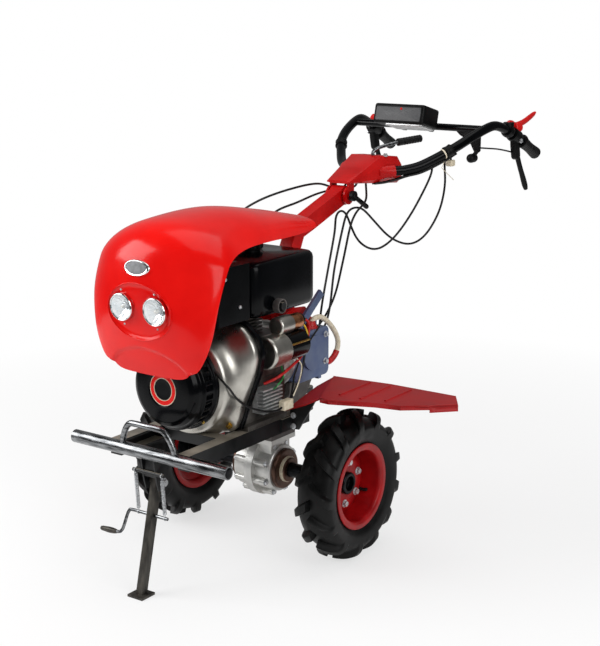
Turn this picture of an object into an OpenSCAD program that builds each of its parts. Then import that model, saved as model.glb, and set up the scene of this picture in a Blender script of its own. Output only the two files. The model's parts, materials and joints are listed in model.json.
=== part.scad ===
// Walking tractor: a two-wheel power unit with bonnet, handlebars and a prop stand
// Frame: +X forward, +Y left, +Z up, millimetres, ground at Z = 0
// Lengths in the modules are measured from the axle line, ahead of it positive,
// and heights from a level line 205 mm below the axle

/* [Wheels] */
// Radius out to the lug tips
wheel_r = 190; // [182:1:205]
// Distance between the tyre mid planes
track = 525; // [515:1:560]
// Tyre section width
tyre_w = 100; // [94:1:108]
// Lugs on each side of the tread
lug_count = 13; // [10:1:16]
// Lug height above the carcass
lug_h = 18; // [12:1:20]
// Axle shaft diameter
axle_d = 38; // [30:1:42]
// Hub tube diameter
hub_d = 60; // [54:1:66]

/* [Chassis] */
// Distance over the outer faces of the rails
rail_span = 242; // [230:1:250]
// Rail height
rail_h = 38; // [30:1:44]
// Height of the rail tops above the level line
rail_top = 373; // [368:1:376]
// Length of the bumper bar
bumper_len = 475; // [400:1:520]
// Bumper bar diameter
bumper_d = 32; // [26:1:36]
// Bumper hoop tube diameter
hoop_d = 15; // [10:1:18]

/* [Stand] */
// Lean of the stand leg at rest, in degrees
stand_tilt = 13.5; // [8:0.5:16]
// Side of the square leg
leg_w = 19; // [16:1:22]
// Side of the square foot plate
foot_w = 46; // [36:1:60]

/* [Engine] */
// Height of the crankshaft above the level line
crank_z = 500; // [495:1:505]
// Crankcase width
case_w = 210; // [190:1:212]
// Recoil starter base radius
recoil_r = 112; // [104:1:116]
// Fuel tank length
tank_l = 260; // [220:1:270]
// Fuel tank width
tank_w = 220; // [180:1:226]
// Fuel tank height
tank_h = 136; // [110:1:140]

/* [Bonnet] */
// Thickness of the bonnet shell
hood_t = 4; // [3:0.5:6]
// Half width of the bonnet at its widest
hood_w = 187; // [180:1:198]
// Lamp diameter
lamp_d = 67; // [58:1:74]
// Distance between the lamp centres
lamp_gap = 100; // [94:1:102]

/* [Guards] */
// Distance over the guard tips
guard_span = 1054; // [960:1:1120]
// Sheet thickness of the guards
guard_t = 4; // [3:0.5:6]

/* [Handlebar] */
// Bar tube diameter
bar_d = 27; // [22:1:30]
// Distance between the grips at their ends
grip_span = 504; // [460:1:540]
// Grip diameter
grip_d = 36; // [32:1:40]
// Column width
column_w = 46; // [36:1:48]

/* [Hitch] */
// Hitch pin hole diameter
hitch_d = 18; // [12:0.5:20]

/* [Hidden] */
$fn = 48;
fit = 0.3;
run = 0.1;
axle_z = 205;
lift = wheel_r - axle_z;
front_x = 516;
rear_x = -1034;
shift_x = -(front_x + rear_x) / 2;
half_track = track / 2;
half_rail = rail_span / 2;
rail_bot = rail_top - rail_h;
wall = 5;

bead_r = 99;
bead_y = 36;
carcass_r = wheel_r - lug_h;
tyre_half = tyre_w / 2;
rim_lip_r = 110;
rim_lip_t = 5;
disc_y = -12;
disc_t = 4;
hub_r = hub_d / 2;
shaft_r = axle_d / 2;

drum_r = 61;
drum_flange_r = 78;
drum_y = 58;
cover_y = 70;
seal_y = 84;
neck_top = axle_z + 85;

bumper_x = 452;
bumper_z = 357;
bumper_r = bumper_d / 2;

pivot_x = 428;
pivot_z = 283;
pin_r = 6;
plate_y = leg_w / 2 + 8;
anchor_x = 455;
anchor_z = 311;
spring_y = 41;
spring_r = 8;
rod_r = 4;
crank_down = 82;

block_x0 = 57;
block_x1 = 228;
shroud_x1 = 242;
block_top = 590;
base_t = 13;
head_x0 = 92;
head_x1 = 208;
head_y0 = -70;
head_y1 = 64;
head_top = block_top + 55;
blower_x1 = 325;
gear_x0 = -165;
gear_x1 = -15;
gear_y = 88;
gear_z0 = 430;
gear_z1 = 560;
plate_t = 3;
tank_x0 = -45;
tank_y1 = 135;
tank_y0 = tank_y1 - tank_w;
tank_z0 = head_top + plate_t;

tilt_x = -345;
tilt_z = 876;
head_r = 26;
head_y = 19;
lug_y0 = 25;
lug_y1 = 31;
bar_r = bar_d / 2;

// Shared forms

module machine() translate([shift_x, 0, lift]) children();

module on_wheel(side) translate([shift_x, side * half_track, wheel_r]) rotate([-90 * side, 0, 0]) children();

module along_y(r, y0, y1) translate([0, y0, 0]) rotate([-90, 0, 0]) cylinder(r = r, h = y1 - y0);

module along_x(r, x0, x1) translate([x0, 0, 0]) rotate([0, 90, 0]) cylinder(r = r, h = x1 - x0);

module side_plate(outline, y0, y1) translate([0, y1, 0]) rotate([90, 0, 0]) linear_extrude(y1 - y0) polygon(outline);

module box(x0, x1, y0, y1, z0, z1) translate([x0, y0, z0]) cube([x1 - x0, y1 - y0, z1 - z0]);

module round_box(x0, x1, y0, y1, z0, z1, r) {
    box(x0 + r, x1 - r, y0, y1, z0, z1);
    box(x0, x1, y0 + r, y1 - r, z0, z1);
    for (x = [x0 + r, x1 - r], y = [y0 + r, y1 - r]) translate([x, y, z0]) cylinder(r = r, h = z1 - z0);
}

function unit(v) = v / norm(v);

function blend_point(a, b, c, d, t) = 0.5 * (2 * b + (c - a) * t + (2 * a - 5 * b + 4 * c - d) * t * t
    + (3 * b - a - 3 * c + d) * t * t * t);

function smooth(p, n) = let (m = len(p) - 1) [
    for (i = [0 : m - 1], k = [0 : n - 1])
        blend_point(p[max(i - 1, 0)], p[i], p[i + 1], p[min(i + 2, m)], k / n),
    p[m]];

function heading(p, i) = unit(p[min(i + 1, len(p) - 1)] - p[max(i - 1, 0)]);

// A closed round tube along a list of points; ref is a direction the route never follows
module tube(p, r, sides, ref) {
    n = len(p);
    rings = [for (i = [0 : n - 1]) let (t = heading(p, i), a = unit(cross(t, ref)), b = cross(a, t))
        for (k = [0 : sides - 1]) p[i] + r * (a * cos(360 * k / sides) + b * sin(360 * k / sides))];
    walls = [for (i = [0 : n - 2], k = [0 : sides - 1]) let (k1 = (k + 1) % sides)
        [i * sides + k, i * sides + k1, (i + 1) * sides + k1, (i + 1) * sides + k]];
    first = [for (k = [sides - 1 : -1 : 0]) k];
    last = [for (k = [0 : sides - 1]) (n - 1) * sides + k];
    polyhedron(points = rings, faces = concat(walls, [first], [last]), convexity = 6);
}

function mirror_y(p, side) = [for (q = p) [q[0], side * q[1], q[2]]];

// Wheels

tyre_side = [[bead_r, bead_y], [bead_r + 13, bead_y], [bead_r + 27, tyre_half - 4], [bead_r + 45, tyre_half],
    [carcass_r - 19, tyre_half - 2], [carcass_r - 9, tyre_half - 9], [carcass_r - 3, tyre_half - 22]];
tyre_outline = concat([for (q = tyre_side) [q[0], -q[1]]], [[carcass_r, 0]],
    [for (i = [len(tyre_side) - 1 : -1 : 0]) tyre_side[i]]);
// The crown that the lug tips follow
crown_side = [[carcass_r - 30, tyre_half - 1], [wheel_r - 26, tyre_half - 1], [wheel_r - 12, tyre_half - 12],
    [wheel_r - 4, tyre_half - 24], [wheel_r, tyre_half - 40]];
crown = concat([for (q = crown_side) [q[0], -q[1]]], [for (i = [len(crown_side) - 1 : -1 : 0]) crown_side[i]]);

lug_w = 23;
lug_sweep = 42;

module lug(flip) {
    outline = [[-lug_w / 2, -5], [lug_w / 2, -5], [lug_w / 2 + lug_sweep, tyre_half - 1],
        [lug_sweep - lug_w / 2, tyre_half - 1]];
    rotate([0, 90, 0]) translate([0, 0, carcass_r - 24]) rotate([0, 0, 90])
        translate([-lug_sweep / 2, 0, 0]) linear_extrude(lug_h + 30) mirror([0, flip, 0]) polygon(outline);
}

module tyre(side) on_wheel(side) color("#1b1b1c") {
    rotate_extrude($fn = 96) polygon(tyre_outline);
    intersection() {
        union() {
            for (k = [0 : lug_count - 1]) {
                rotate([0, 0, -90 * side + 360 * k / lug_count]) lug(0);
                rotate([0, 0, -90 * side + 360 * (k + 0.5) / lug_count]) lug(1);
            }
        }
        rotate_extrude($fn = 96) polygon(crown);
    }
}
module tyre_left() tyre(1);
module tyre_right() tyre(-1);

barrel_r = bead_r - fit;
rim_outline = [[hub_r + fit, disc_y], [72, disc_y], [86, disc_y - 10], [barrel_r - 5, disc_y - 14],
    [barrel_r - 5, -bead_y - rim_lip_t], [rim_lip_r, -bead_y - rim_lip_t], [rim_lip_r, -bead_y - fit],
    [barrel_r, -bead_y - fit], [barrel_r, bead_y + fit], [rim_lip_r, bead_y + fit],
    [rim_lip_r, bead_y + rim_lip_t], [barrel_r - 5, bead_y + rim_lip_t], [barrel_r - 5, disc_y - 8],
    [88, disc_y - 5], [74, disc_y + disc_t], [hub_r + fit, disc_y + disc_t]];

module rim(side) on_wheel(side) color("#a3141b") rotate_extrude($fn = 96) polygon(rim_outline);
module rim_left() rim(1);
module rim_right() rim(-1);

inner_end = 34 - half_track;
hub_in = -108;
axle_outline = [[0, inner_end], [shaft_r, inner_end], [shaft_r, hub_in - 8], [shaft_r + 6, hub_in - 8],
    [shaft_r + 6, hub_in], [hub_r, hub_in], [hub_r, disc_y - 8], [70, disc_y - 8], [70, disc_y], [hub_r, disc_y],
    [hub_r, disc_y + 15], [shaft_r + 3, disc_y + 15], [shaft_r + 3, disc_y - 3], [0, disc_y - 3]];

module axle(side) on_wheel(side) color("#202124") rotate_extrude() polygon(axle_outline);
module axle_left() axle(1);
module axle_right() axle(-1);

// Drive line

module at_axle() translate([0, 0, axle_z]) children();

drum_outline = [[shaft_r + run, -drum_y], [drum_r - 3, -drum_y], [drum_r, 3 - drum_y], [drum_r, -12],
    [drum_flange_r, -12], [drum_flange_r, 12], [drum_r, 12], [drum_r, drum_y - 3], [drum_r - 3, drum_y],
    [shaft_r + run, drum_y]];
boss_r = 9;

module axle_drum() machine() color("#b9bbbd") {
    at_axle() rotate([-90, 0, 0]) rotate_extrude($fn = 72) polygon(drum_outline);
    at_axle() for (k = [0 : 7]) rotate([0, 45 * k + 22.5, 0]) translate([drum_r + 5, 0, 0]) along_y(boss_r, -46, 46);
    difference() {
        box(-40, 40, -50, 50, axle_z + 20, neck_top);
        at_axle() along_y(drum_r - 1, -51, 51);
    }
    box(-52, 52, -60, 60, neck_top - 12, neck_top);
}

module axle_covers() machine() color("#6d6560") for (side = [-1, 1]) at_axle() rotate([-90 * side, 0, 0])
    rotate_extrude() polygon([[shaft_r + run, drum_y], [drum_r - 8, drum_y], [drum_r - 8, cover_y - 3],
        [drum_r - 11, cover_y], [shaft_r + 13, cover_y], [shaft_r + 13, seal_y - 2], [shaft_r + 11, seal_y],
        [shaft_r + run, seal_y]]);

pad_x = -112;
leg_foot = neck_top + 12;
leg_outline = [[pad_x, leg_foot], [40, leg_foot], [32, 350], [gear_x1 - 5, 405], [gear_x1 - 5, gear_z0],
    [gear_x0 + 12, gear_z0], [pad_x, 374]];

module gearbox_leg() machine() color("#6a6264") {
    side_plate(leg_outline, -52, 52);
    box(-52, 52, -60, 60, neck_top, leg_foot);
    for (y = [-64, 51]) side_plate([[-60, 380], [-40, 350], [10, 350], [-22, 405], [-22, gear_z0], [-60, gear_z0]],
        y, y + 13);
}

module gearbox_upper() machine() color("#a9b0bb") {
    translate([0, gear_y, 0]) rotate([90, 0, 0])
        round_box(gear_x0, gear_x1, gear_z0, gear_z1, 0, 2 * gear_y, 16);
    for (y = [-gear_y - 7, gear_y]) translate([-90, 0, 500]) along_y(46, y, y + 7);
    for (x = [-150, -60]) box(x, x + 10, -60, 60, gear_z1, gear_z1 + 12);
}

arm_z = 462;

module shift_arms() machine() color("#8f959b") {
    for (y = [-34, 34]) {
        translate([0, 0, arm_z]) translate([0, y, 0]) along_x(9, gear_x0 - 24, gear_x0);
        box(gear_x0 - 36, gear_x0 - 22, y - 6, y + 6, arm_z - 62, arm_z + 10);
    }
    side_plate([[-54, gear_z1 + fit], [-30, gear_z1 + fit], [-30, gear_z1 + 10], [-144, 656], [-160, 640]], 68, 76);
}

clutch_r = 90;

module clutch_housing() machine() color("#b4b6b8") translate([0, 0, crank_z]) {
    along_x(clutch_r - 8, gear_x1, block_x0);
    along_x(clutch_r, gear_x1, gear_x1 + 12);
    along_x(clutch_r, block_x0 - 12, block_x0);
}

hitch_x = -182;
hitch_z = 334;

module hitch() machine() color("#2a2b2e") {
    difference() {
        union() {
            box(pad_x - 14, pad_x, -44, 44, leg_foot + 2, leg_foot + 70);
            for (z = [hitch_z - 24, hitch_z + 28]) {
                box(hitch_x, pad_x - 6, -22, 22, z, z + 12);
                translate([hitch_x, 0, z]) cylinder(r = 22, h = 12);
            }
        }
        translate([hitch_x, 0, hitch_z - 60]) cylinder(d = hitch_d, h = 120);
    }
}

// Chassis

rail_x0 = -30;
flange_w = 34;

module rail(side) machine() color("#26272a") difference() {
    translate([rail_x0, 0, 0]) rotate([90, 0, 90]) linear_extrude(bumper_x - rail_x0) polygon([
        [side * half_rail, rail_bot], [side * half_rail, rail_top], [side * (half_rail - flange_w), rail_top],
        [side * (half_rail - flange_w), rail_top - wall], [side * (half_rail - wall), rail_top - wall],
        [side * (half_rail - wall), rail_bot + wall], [side * (half_rail - flange_w), rail_bot + wall],
        [side * (half_rail - flange_w), rail_bot]]);
    translate([bumper_x, 0, bumper_z]) along_y(bumper_r + run, -bumper_len, bumper_len);
}
module rail_left() rail(1);
module rail_right() rail(-1);

module cross_members() machine() color("#242528") for (x = [84, 262])
    box(x, x + 36, wall - half_rail, half_rail - wall, rail_bot + wall, rail_top - wall);

module bumper_bar() machine() color("#8d9094") translate([bumper_x, 0, bumper_z])
    along_y(bumper_r, -bumper_len / 2, bumper_len / 2);

hoop_foot = 82;
hoop_top = 426;
hoop_half = [[bumper_x, hoop_foot, bumper_z + 4], [bumper_x + 2, hoop_foot - 4, bumper_z + 24],
    [bumper_x + 5, hoop_foot - 15, hoop_top - 20], [bumper_x + 7, hoop_foot - 30, hoop_top - 3],
    [bumper_x + 8, hoop_foot - 50, hoop_top]];

module bumper_hoop() machine() color("#7f8286") difference() {
    tube(smooth(concat(hoop_half, [for (i = [4 : -1 : 0]) [hoop_half[i][0], -hoop_half[i][1], hoop_half[i][2]]]), 4),
        hoop_d / 2, 14, [1, 0, 0]);
    translate([bumper_x, 0, bumper_z]) along_y(bumper_r + run, -bumper_len, bumper_len);
}

bracket_x0 = pivot_x - 22;
front_wall = anchor_x - rod_r - 4;

module stand_bracket() machine() color("#2b2c2f") difference() {
    union() {
        for (y = [-plate_y - 4, plate_y]) side_plate([[bracket_x0, pivot_z - 18], [pivot_x + 16, pivot_z - 18],
            [front_wall + 4, pivot_z + 6], [bumper_x + 8, bumper_z - 8], [bumper_x - 4, bumper_z],
            [bracket_x0, bumper_z - 8]], y, y + 4);
        box(front_wall, front_wall + 4, -plate_y - 4, plate_y + 4, pivot_z + 16, bumper_z - 8);
        box(bracket_x0, bracket_x0 + 4, -plate_y - 4, plate_y + 4, pivot_z + 32, bumper_z - 8);
        translate([anchor_x, 0, anchor_z]) along_y(rod_r + 0.5, -spring_y - 7, spring_y + 7);
    }
    translate([bumper_x, 0, bumper_z]) along_y(bumper_r + run, -bumper_len, bumper_len);
    translate([pivot_x, 0, pivot_z]) along_y(pin_r + run, -60, 60);
}

// Stand

leg_len = (pivot_z + lift) / cos(stand_tilt);
foot_x = pivot_x + (pivot_z + lift) * tan(stand_tilt);
foot_t = 6;

module in_leg() translate([pivot_x, 0, pivot_z]) rotate([0, -stand_tilt, 0]) children();

module stand_leg() machine() color("#303236") {
    difference() {
        in_leg() box(-leg_w / 2, leg_w / 2, -leg_w / 2, leg_w / 2, 4 - leg_len, 18);
        in_leg() translate([0, 0, -crank_down]) along_y(rod_r + fit, -60, 60);
    }
    translate([pivot_x, 0, pivot_z]) along_y(pin_r, -plate_y - 9, plate_y + 9);
    translate([foot_x, 0, -lift]) box(-foot_w / 2, foot_w / 2, -foot_w / 2, foot_w / 2, 0, foot_t);
}

module stand_crank() machine() color("#55585c") in_leg() translate([0, 0, -crank_down])
    tube(smooth([[0, spring_y + 8, 0], [0, 0, 0], [0, -spring_y - 20, 0], [0, -spring_y - 30, -4],
        [1, -spring_y - 34, -16], [3, -spring_y - 38, -42], [4, -spring_y - 42, -54], [6, -spring_y - 53, -60],
        [6, -spring_y - 105, -62]], 3),
        rod_r, 10, [1, 0, 0]);

spring_top = [anchor_x, spring_y, anchor_z];
spring_low = [pivot_x + crank_down * sin(stand_tilt), spring_y, pivot_z - crank_down * cos(stand_tilt)];

module stand_springs() machine() color("#8a8d91") for (side = [-1, 1]) {
    a = [spring_top[0], side * spring_y, spring_top[2]];
    b = [spring_low[0], side * spring_y, spring_low[2]];
    d = b - a;
    s = unit(d);
    translate(a + s * (rod_r + 0.5 + fit)) rotate([0, atan2(d[0], d[2]), 0])
        cylinder(r = spring_r, h = norm(d) - 2 * (rod_r + fit) - 0.5);
}

// Engine

module crankcase() machine() color("#a7a9ab") {
    box(block_x0, block_x1, -case_w / 2, case_w / 2, rail_top + base_t, block_top);
    box(block_x0 + 14, block_x1, -half_rail, half_rail, rail_top, rail_top + base_t);
    for (z = [484, 508]) box(block_x0, block_x1 - 20, case_w / 2, case_w / 2 + 2, z, z + 6);
}

fin_pitch = 9;

module cylinder_head() machine() color("#9a9c9f") {
    box(head_x0 + 12, head_x1 - 12, head_y0, head_y1 - 10, block_top, head_top);
    for (k = [0 : 5]) box(head_x0, head_x1, head_y0 + 4, head_y1, block_top + 2 + k * fin_pitch,
        block_top + 6 + k * fin_pitch);
}

// Left half of the fan casing seen from the front, as widths at heights
casing_half = [[84, 374], [104, 384], [134, 462], [160, 527], [170, 577], [158, 610], [124, 641], [104, 646]];
casing = concat(casing_half, [for (i = [len(casing_half) - 1 : -1 : 0]) [-casing_half[i][0], casing_half[i][1]]]);

module from_front(outline, x0, x1) translate([x0, 0, 0]) rotate([90, 0, 90]) linear_extrude(x1 - x0) polygon(outline);

module blower_housing() machine() color("#c2c4c6") hull() {
    from_front(casing, shroud_x1, shroud_x1 + 22);
    translate([0, 0, crank_z]) along_x(recoil_r + 16, shroud_x1 + 22, blower_x1 - 10);
    translate([0, 0, crank_z]) along_x(recoil_r + 8, blower_x1 - 10, blower_x1);
}

shroud_grow = 6;

module fan_shroud() machine() color("#18181a")
    from_front([for (q = casing) let (w = q + shroud_grow * unit([q[0], q[1] - crank_z - 20]))
        [w[0], max(w[1], rail_top + fit)]], block_x1, shroud_x1);

battery_x0 = 222;
battery_x1 = 350;
battery_top = 790;
battery_floor = 654;
post_top = 895.2;

module battery_box() machine() color("#151516") {
    round_box(battery_x0, battery_x1, -104, 128, battery_floor, battery_top, 8);
    for (y = [-60, 60]) translate([272, y, battery_top]) cylinder(r = 5, h = post_top - battery_top);
    for (y = [-60, 60]) box(250, 268, y - 8, y + 8, casing_top + fit, battery_floor);
}
casing_top = 646;

recoil_outline = [[0, 0], [recoil_r, 0], [recoil_r, 10], [recoil_r - 5, 12], [recoil_r - 6, 44], [recoil_r - 13, 48],
    [recoil_r - 15, 58], [recoil_r - 22, 68], [recoil_r - 32, 73], [42, 75], [40, 72], [0, 72]];

slot_count = 30;

module recoil_starter() machine() color("#1a1a1b") translate([blower_x1, 0, crank_z]) rotate([0, 90, 0]) difference() {
    rotate_extrude($fn = 72) polygon(recoil_outline);
    for (k = [0 : slot_count - 1]) rotate([0, 0, 360 * k / slot_count])
        box(recoil_r - 12, recoil_r + 4, -4, 4, 16, 40);
}

tank_round = 26;

module fuel_tank() machine() color("#141415") hull()
    for (x = [tank_x0 + tank_round, tank_x0 + tank_l - tank_round],
        y = [tank_y0 + tank_round, tank_y1 - tank_round],
        z = [tank_z0 + tank_round, tank_z0 + tank_h - tank_round])
        translate([x, y, z]) sphere(r = tank_round, $fn = 20);

cap_x = 70;
cap_y = 10;

module tank_cap() machine() color("#101011") translate([cap_x, cap_y, tank_z0 + tank_h]) {
    cylinder(r = 26, h = 10);
    translate([0, 0, 10]) cylinder(r = 32, h = 18);
}

module tank_plate() machine() color("#1c1c1d") box(tank_x0 + 30, head_x1 - 6, -60, 100, head_top, head_top + plate_t);

tap_x = 140;
tap_z = 674;

module fuel_tap() machine() color("#77797c") translate([tap_x, 0, tap_z]) {
    along_y(10, tank_y1 + fit, tank_y1 + 8);
    along_y(13, tank_y1 + 8, tank_y1 + 18);
    along_y(10, tank_y1 + 18, tank_y1 + 30);
}

starter_y = case_w / 2 + 41 + fit;
starter_z = 566;

module starter_motor() machine() color("#3a3b3d") translate([0, starter_y, starter_z]) {
    along_x(41, 132, 200);
    along_x(36, 52, 132);
    along_x(30, 44, 52);
}

module solenoid() machine() color("#b08a4a") translate([0, starter_y, starter_z + 56 + fit]) {
    along_x(20, 58, 132 - fit);
}

reg_z = 410;
reg_h = 60;

module regulator() machine() color("#8f9194") {
    box(112, 190, case_w / 2, case_w / 2 + 14, reg_z, reg_z + reg_h);
    for (k = [0 : 6]) box(112, 190, case_w / 2 + 13, case_w / 2 + 34, reg_z + k * (reg_h - 4) / 6,
        reg_z + k * (reg_h - 4) / 6 + 4);
}

clean_x = 165;
clean_r = 60;
clean_y = tank_y0 - clean_r - 7;

module air_cleaner() machine() color("#1b1b1c") {
    translate([clean_x, clean_y, 640]) cylinder(r = clean_r, h = 96);
    translate([clean_x, clean_y, 736]) cylinder(r = clean_r + 4, h = 34);
    box(clean_x - 24, clean_x + 24, clean_y, head_y0, 604, 640);
    translate([clean_x, clean_y, 604]) cylinder(r = 24, h = 36);
}

pipe_x = 114;
pipe_z = 618;

module silencer() machine() color("#4b4a4a") {
    translate([0, clean_y, pipe_z]) along_x(50, -70, 76);
    translate([0, clean_y, pipe_z]) along_x(15, 70, pipe_x);
    translate([pipe_x, 0, pipe_z]) along_y(15, clean_y, head_y0);
    translate([pipe_x, clean_y, pipe_z]) sphere(r = 15);
    translate([0, clean_y - 14, pipe_z - 18]) along_x(13, -96, -60);
}

module breather_hose() machine() color("#c9b4a8") tube(smooth([[-110, 70, gear_z1 + 0.6],
    [-111, 70, gear_z1 + 10], [-124, 70, gear_z1 + 22], [-160, 70, gear_z1 + 18], [-205, 70, 545], [-234, 70, 505],
    [-230, 70, 474], [-210, 66, 452], [-184, 60, 446], [gear_x0 - 0.6, 60, 446]], 2), 7, 10, [0, 1, 0]);

// Bonnet

// Rows from the front lip to the tail: middle x and z, edge x, half width and z, and the fullness of the section
hood_line = [[440, 543, 440, 118, 549, 1.95], [457, 590, 436, 152, 588, 1.93], [473, 648, 428, 175, 647, 1.88],
    [484, 707, 412, 186, 734, 1.84], [480, 788, 383, 187, 799, 1.81], [462, 847, 360, 181, 817, 1.9],
    [420, 884, 317, 169, 829, 2], [350, 902, 248, 152, 833, 2.05], [200, 908, 150, 133, 830, 2.2],
    [50, 886, 40, 112, 824, 2.25], [-60, 864, -60, 94, 822, 2.25], [-110, 853, -110, 85, 829, 2.25]];
hood_rows = smooth(hood_line, 3);
hood_cols = 24;

function hood_drop(h, full) = 1 - pow(max(1 - pow(abs(h), full), 0), 1 / full);

function hood_point(row, a) = let (h = sin(a), g = hood_drop(h, row[5])) [row[0] + (row[2] - row[0]) * g,
    h * row[3] * hood_w / 187, row[1] + (row[4] - row[1]) * g];

hood_angles = [for (k = [0 : hood_cols]) -90 + 180 * k / hood_cols];
hood_grid = [for (row = hood_rows) [for (a = hood_angles) hood_point(row, a)]];
hood_n = len(hood_rows);

function hood_normal(i, k) = let (u = hood_grid[min(i + 1, hood_n - 1)][k] - hood_grid[max(i - 1, 0)][k],
    v = hood_grid[i][min(k + 1, hood_cols)] - hood_grid[i][max(k - 1, 0)]) unit(cross(v, u));

module bonnet_shell() {
    w = hood_cols + 1;
    count = hood_n * w;
    outer = [for (i = [0 : hood_n - 1], k = [0 : hood_cols]) hood_grid[i][k]];
    inner = [for (i = [0 : hood_n - 1], k = [0 : hood_cols]) hood_grid[i][k] - hood_t * hood_normal(i, k)];
    skin = [for (i = [0 : hood_n - 2], k = [0 : hood_cols - 1]) let (a = i * w + k)
        each [[a, a + 1, a + w], [a + 1, a + w + 1, a + w]]];
    lining = [for (f = skin) [f[0] + count, f[2] + count, f[1] + count]];
    ring = concat([for (k = [0 : hood_cols]) k], [for (i = [1 : hood_n - 1]) i * w + hood_cols],
        [for (k = [hood_cols - 1 : -1 : 0]) (hood_n - 1) * w + k], [for (i = [hood_n - 2 : -1 : 1]) i * w]);
    edge = [for (j = [0 : len(ring) - 1]) let (a = ring[j], b = ring[(j + 1) % len(ring)])
        each [[b, a, a + count], [b, a + count, b + count]]];
    polyhedron(points = concat(outer, inner), faces = concat(skin, lining, edge), convexity = 8);
}

panel_z = 709;
panel_x = 468;
panel_w = 91;
panel_h = 62;
panel_lean = 5;
panel_t = 8;
rim_out = 7;

module on_panel() translate([panel_x, 0, panel_z]) rotate([0, panel_lean, 0]) children();

module oval(grow, x0, x1) translate([x0, 0, 0]) rotate([90, 0, 90]) linear_extrude(x1 - x0)
    scale([(panel_w + grow) / 100, (panel_h + grow) / 100]) circle(r = 100, $fn = 64);

module bonnet() machine() color("#d8140f") {
    difference() {
        bonnet_shell();
        on_panel() oval(0, -60, 60);
    }
}

module lamp_panel() machine() color("#d8140f") on_panel() difference() {
    union() {
        oval(-fit, -panel_t, 0);
        difference() {
            oval(-fit, -1, rim_out);
            oval(-6, -2, rim_out + 1);
        }
    }
    for (side = [-1, 1]) translate([0, side * lamp_gap / 2, 0]) along_x(lamp_d / 2 + fit, -20, 20);
}

lamp_deep = 23;
lamp_outline = [[0, 0], [lamp_d / 2, 0], [lamp_d / 2, lamp_deep - 8], [lamp_d / 2 - 3, lamp_deep - 5],
    [lamp_d / 4, lamp_deep - 1], [0, lamp_deep]];

module lamp(side) machine() color("#d9dde0") on_panel() translate([-panel_t, side * lamp_gap / 2, 0])
    rotate([0, 90, 0]) rotate_extrude() polygon(lamp_outline);
module lamp_left() lamp(1);
module lamp_right() lamp(-1);

// Guards

guard_half = guard_span / 2;
guard_z = axle_z + wheel_r + 41;
bend_front = [72, 228];
bend_rear = [-116, 142];
bend_aim = unit(bend_front - bend_rear);
bend_slope = 0.52;
bend_lap = 4 * [bend_aim[1], -bend_aim[0]];

// Height of the leaning inner part of a guard at a point, on the left side
function lean_z(x, y) = guard_z + bend_slope * ((y - bend_front[1]) * bend_aim[0] - (x - bend_front[0]) * bend_aim[1]);

flat = [bend_rear + bend_lap, bend_front + bend_lap, [76, 250], [68, 270], [32, 357], [18, 420], [-27, 477], [-77, guard_half - 2],
    [-134, 488], [-134, 300]];
lean = [bend_rear, [-76, 112], [60, 112], [76, 180], bend_front];

module guard_sheet(side, outline, rise_x, rise_y, z0)
    multmatrix([[1, 0, 0, 0], [0, 1, 0, 0], [rise_x, rise_y, 1, z0], [0, 0, 0, 1]])
        linear_extrude(guard_t) polygon([for (q = outline) [q[0], side * q[1]]]);

// A folded edge strip between two outline points
module guard_lip(side, a, b, drop) {
    t = unit(b - a);
    n = [-t[1], t[0]] * 2;
    translate([0, 0, guard_z + 1 - drop]) linear_extrude(drop)
        polygon([for (q = [a - t, b + t, b + t + n, a - t + n]) [q[0], side * q[1]]]);
}

module guard(side) machine() color("#a8323a") {
    guard_sheet(side, flat, 0, 0, guard_z);
    guard_sheet(side, lean, -bend_slope * bend_aim[1], side * bend_slope * bend_aim[0], lean_z(0, 0));
    for (i = [1 : 7]) guard_lip(side, flat[i], flat[i + 1], i > 5 ? 16 : 9);
    for (y = [250, 310, 370]) box(-116, y > 320 ? 6 : 26, side * y - 3, side * y + 3, guard_z + guard_t - 1,
        guard_z + guard_t + 3);
}
module guard_left() guard(1);
module guard_right() guard(-1);

gusset_x = 50;
gusset_out = 200;

module gussets() machine() color("#1e1e20") for (side = [-1, 1]) {
    translate([gusset_x, 0, 0]) rotate([90, 0, 90]) linear_extrude(5) polygon([
        [side * half_rail, rail_bot + 3], [side * half_rail, lean_z(gusset_x + 5, half_rail) - fit],
        [side * gusset_out, lean_z(gusset_x + 5, gusset_out) - fit], [side * (half_rail + 26), rail_bot + 4]]);
    box(gusset_x, gusset_x + 46, min(side * half_rail, side * (half_rail + 5)),
        max(side * half_rail, side * (half_rail + 5)), rail_bot + 3, rail_top - 2);
}

// Handlebar

column_h = 44;
column_top = [[-68, 572], [-96, 640], [-112, 760], [-136, 806], [-190, 824], [tilt_x, tilt_z]];

function side_of(p, i) = let (t = unit([p[min(i + 1, len(p) - 1)][0] - p[max(i - 1, 0)][0],
    p[min(i + 1, len(p) - 1)][1] - p[max(i - 1, 0)][1]])) [-t[1], t[0]];

module handle_column() machine() color("#cf1a17") {
    n = len(column_top);
    outline = concat([for (i = [0 : n - 1]) column_top[i] + side_of(column_top, i) * column_h / 2],
        [for (i = [n - 1 : -1 : 0]) column_top[i] - side_of(column_top, i) * column_h / 2]);
    difference() {
        union() {
            side_plate(outline, -head_y, head_y);
            translate([tilt_x, 0, tilt_z]) along_y(head_r, -head_y, head_y);
        }
        translate([tilt_x, 0, tilt_z]) along_y(pin_r + run, -60, 60);
        box(-200, 0, -60, 60, 500, gear_z1 + 12);
    }
    box(-150, -20, -52, 52, gear_z1 + 12, gear_z1 + 18);
    for (y = [-46, 40]) side_plate([[-146, gear_z1 + 17], [-20, gear_z1 + 17], [-24, 606], [-60, 618], [-118, 612]],
        y, y + 6);
}

// Console sections: place, underside, top, half width, and the cuts of the lower and upper corners
console_rings = [[-336, 908, 916, 36, 2, 3], [-400, 904, 942, 48, 8, 14], [-478, 898, 972, 64, 14, 22],
    [-548, 892, 966, 70, 14, 22], [-590, 908, 940, 48, 8, 12]];

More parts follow.
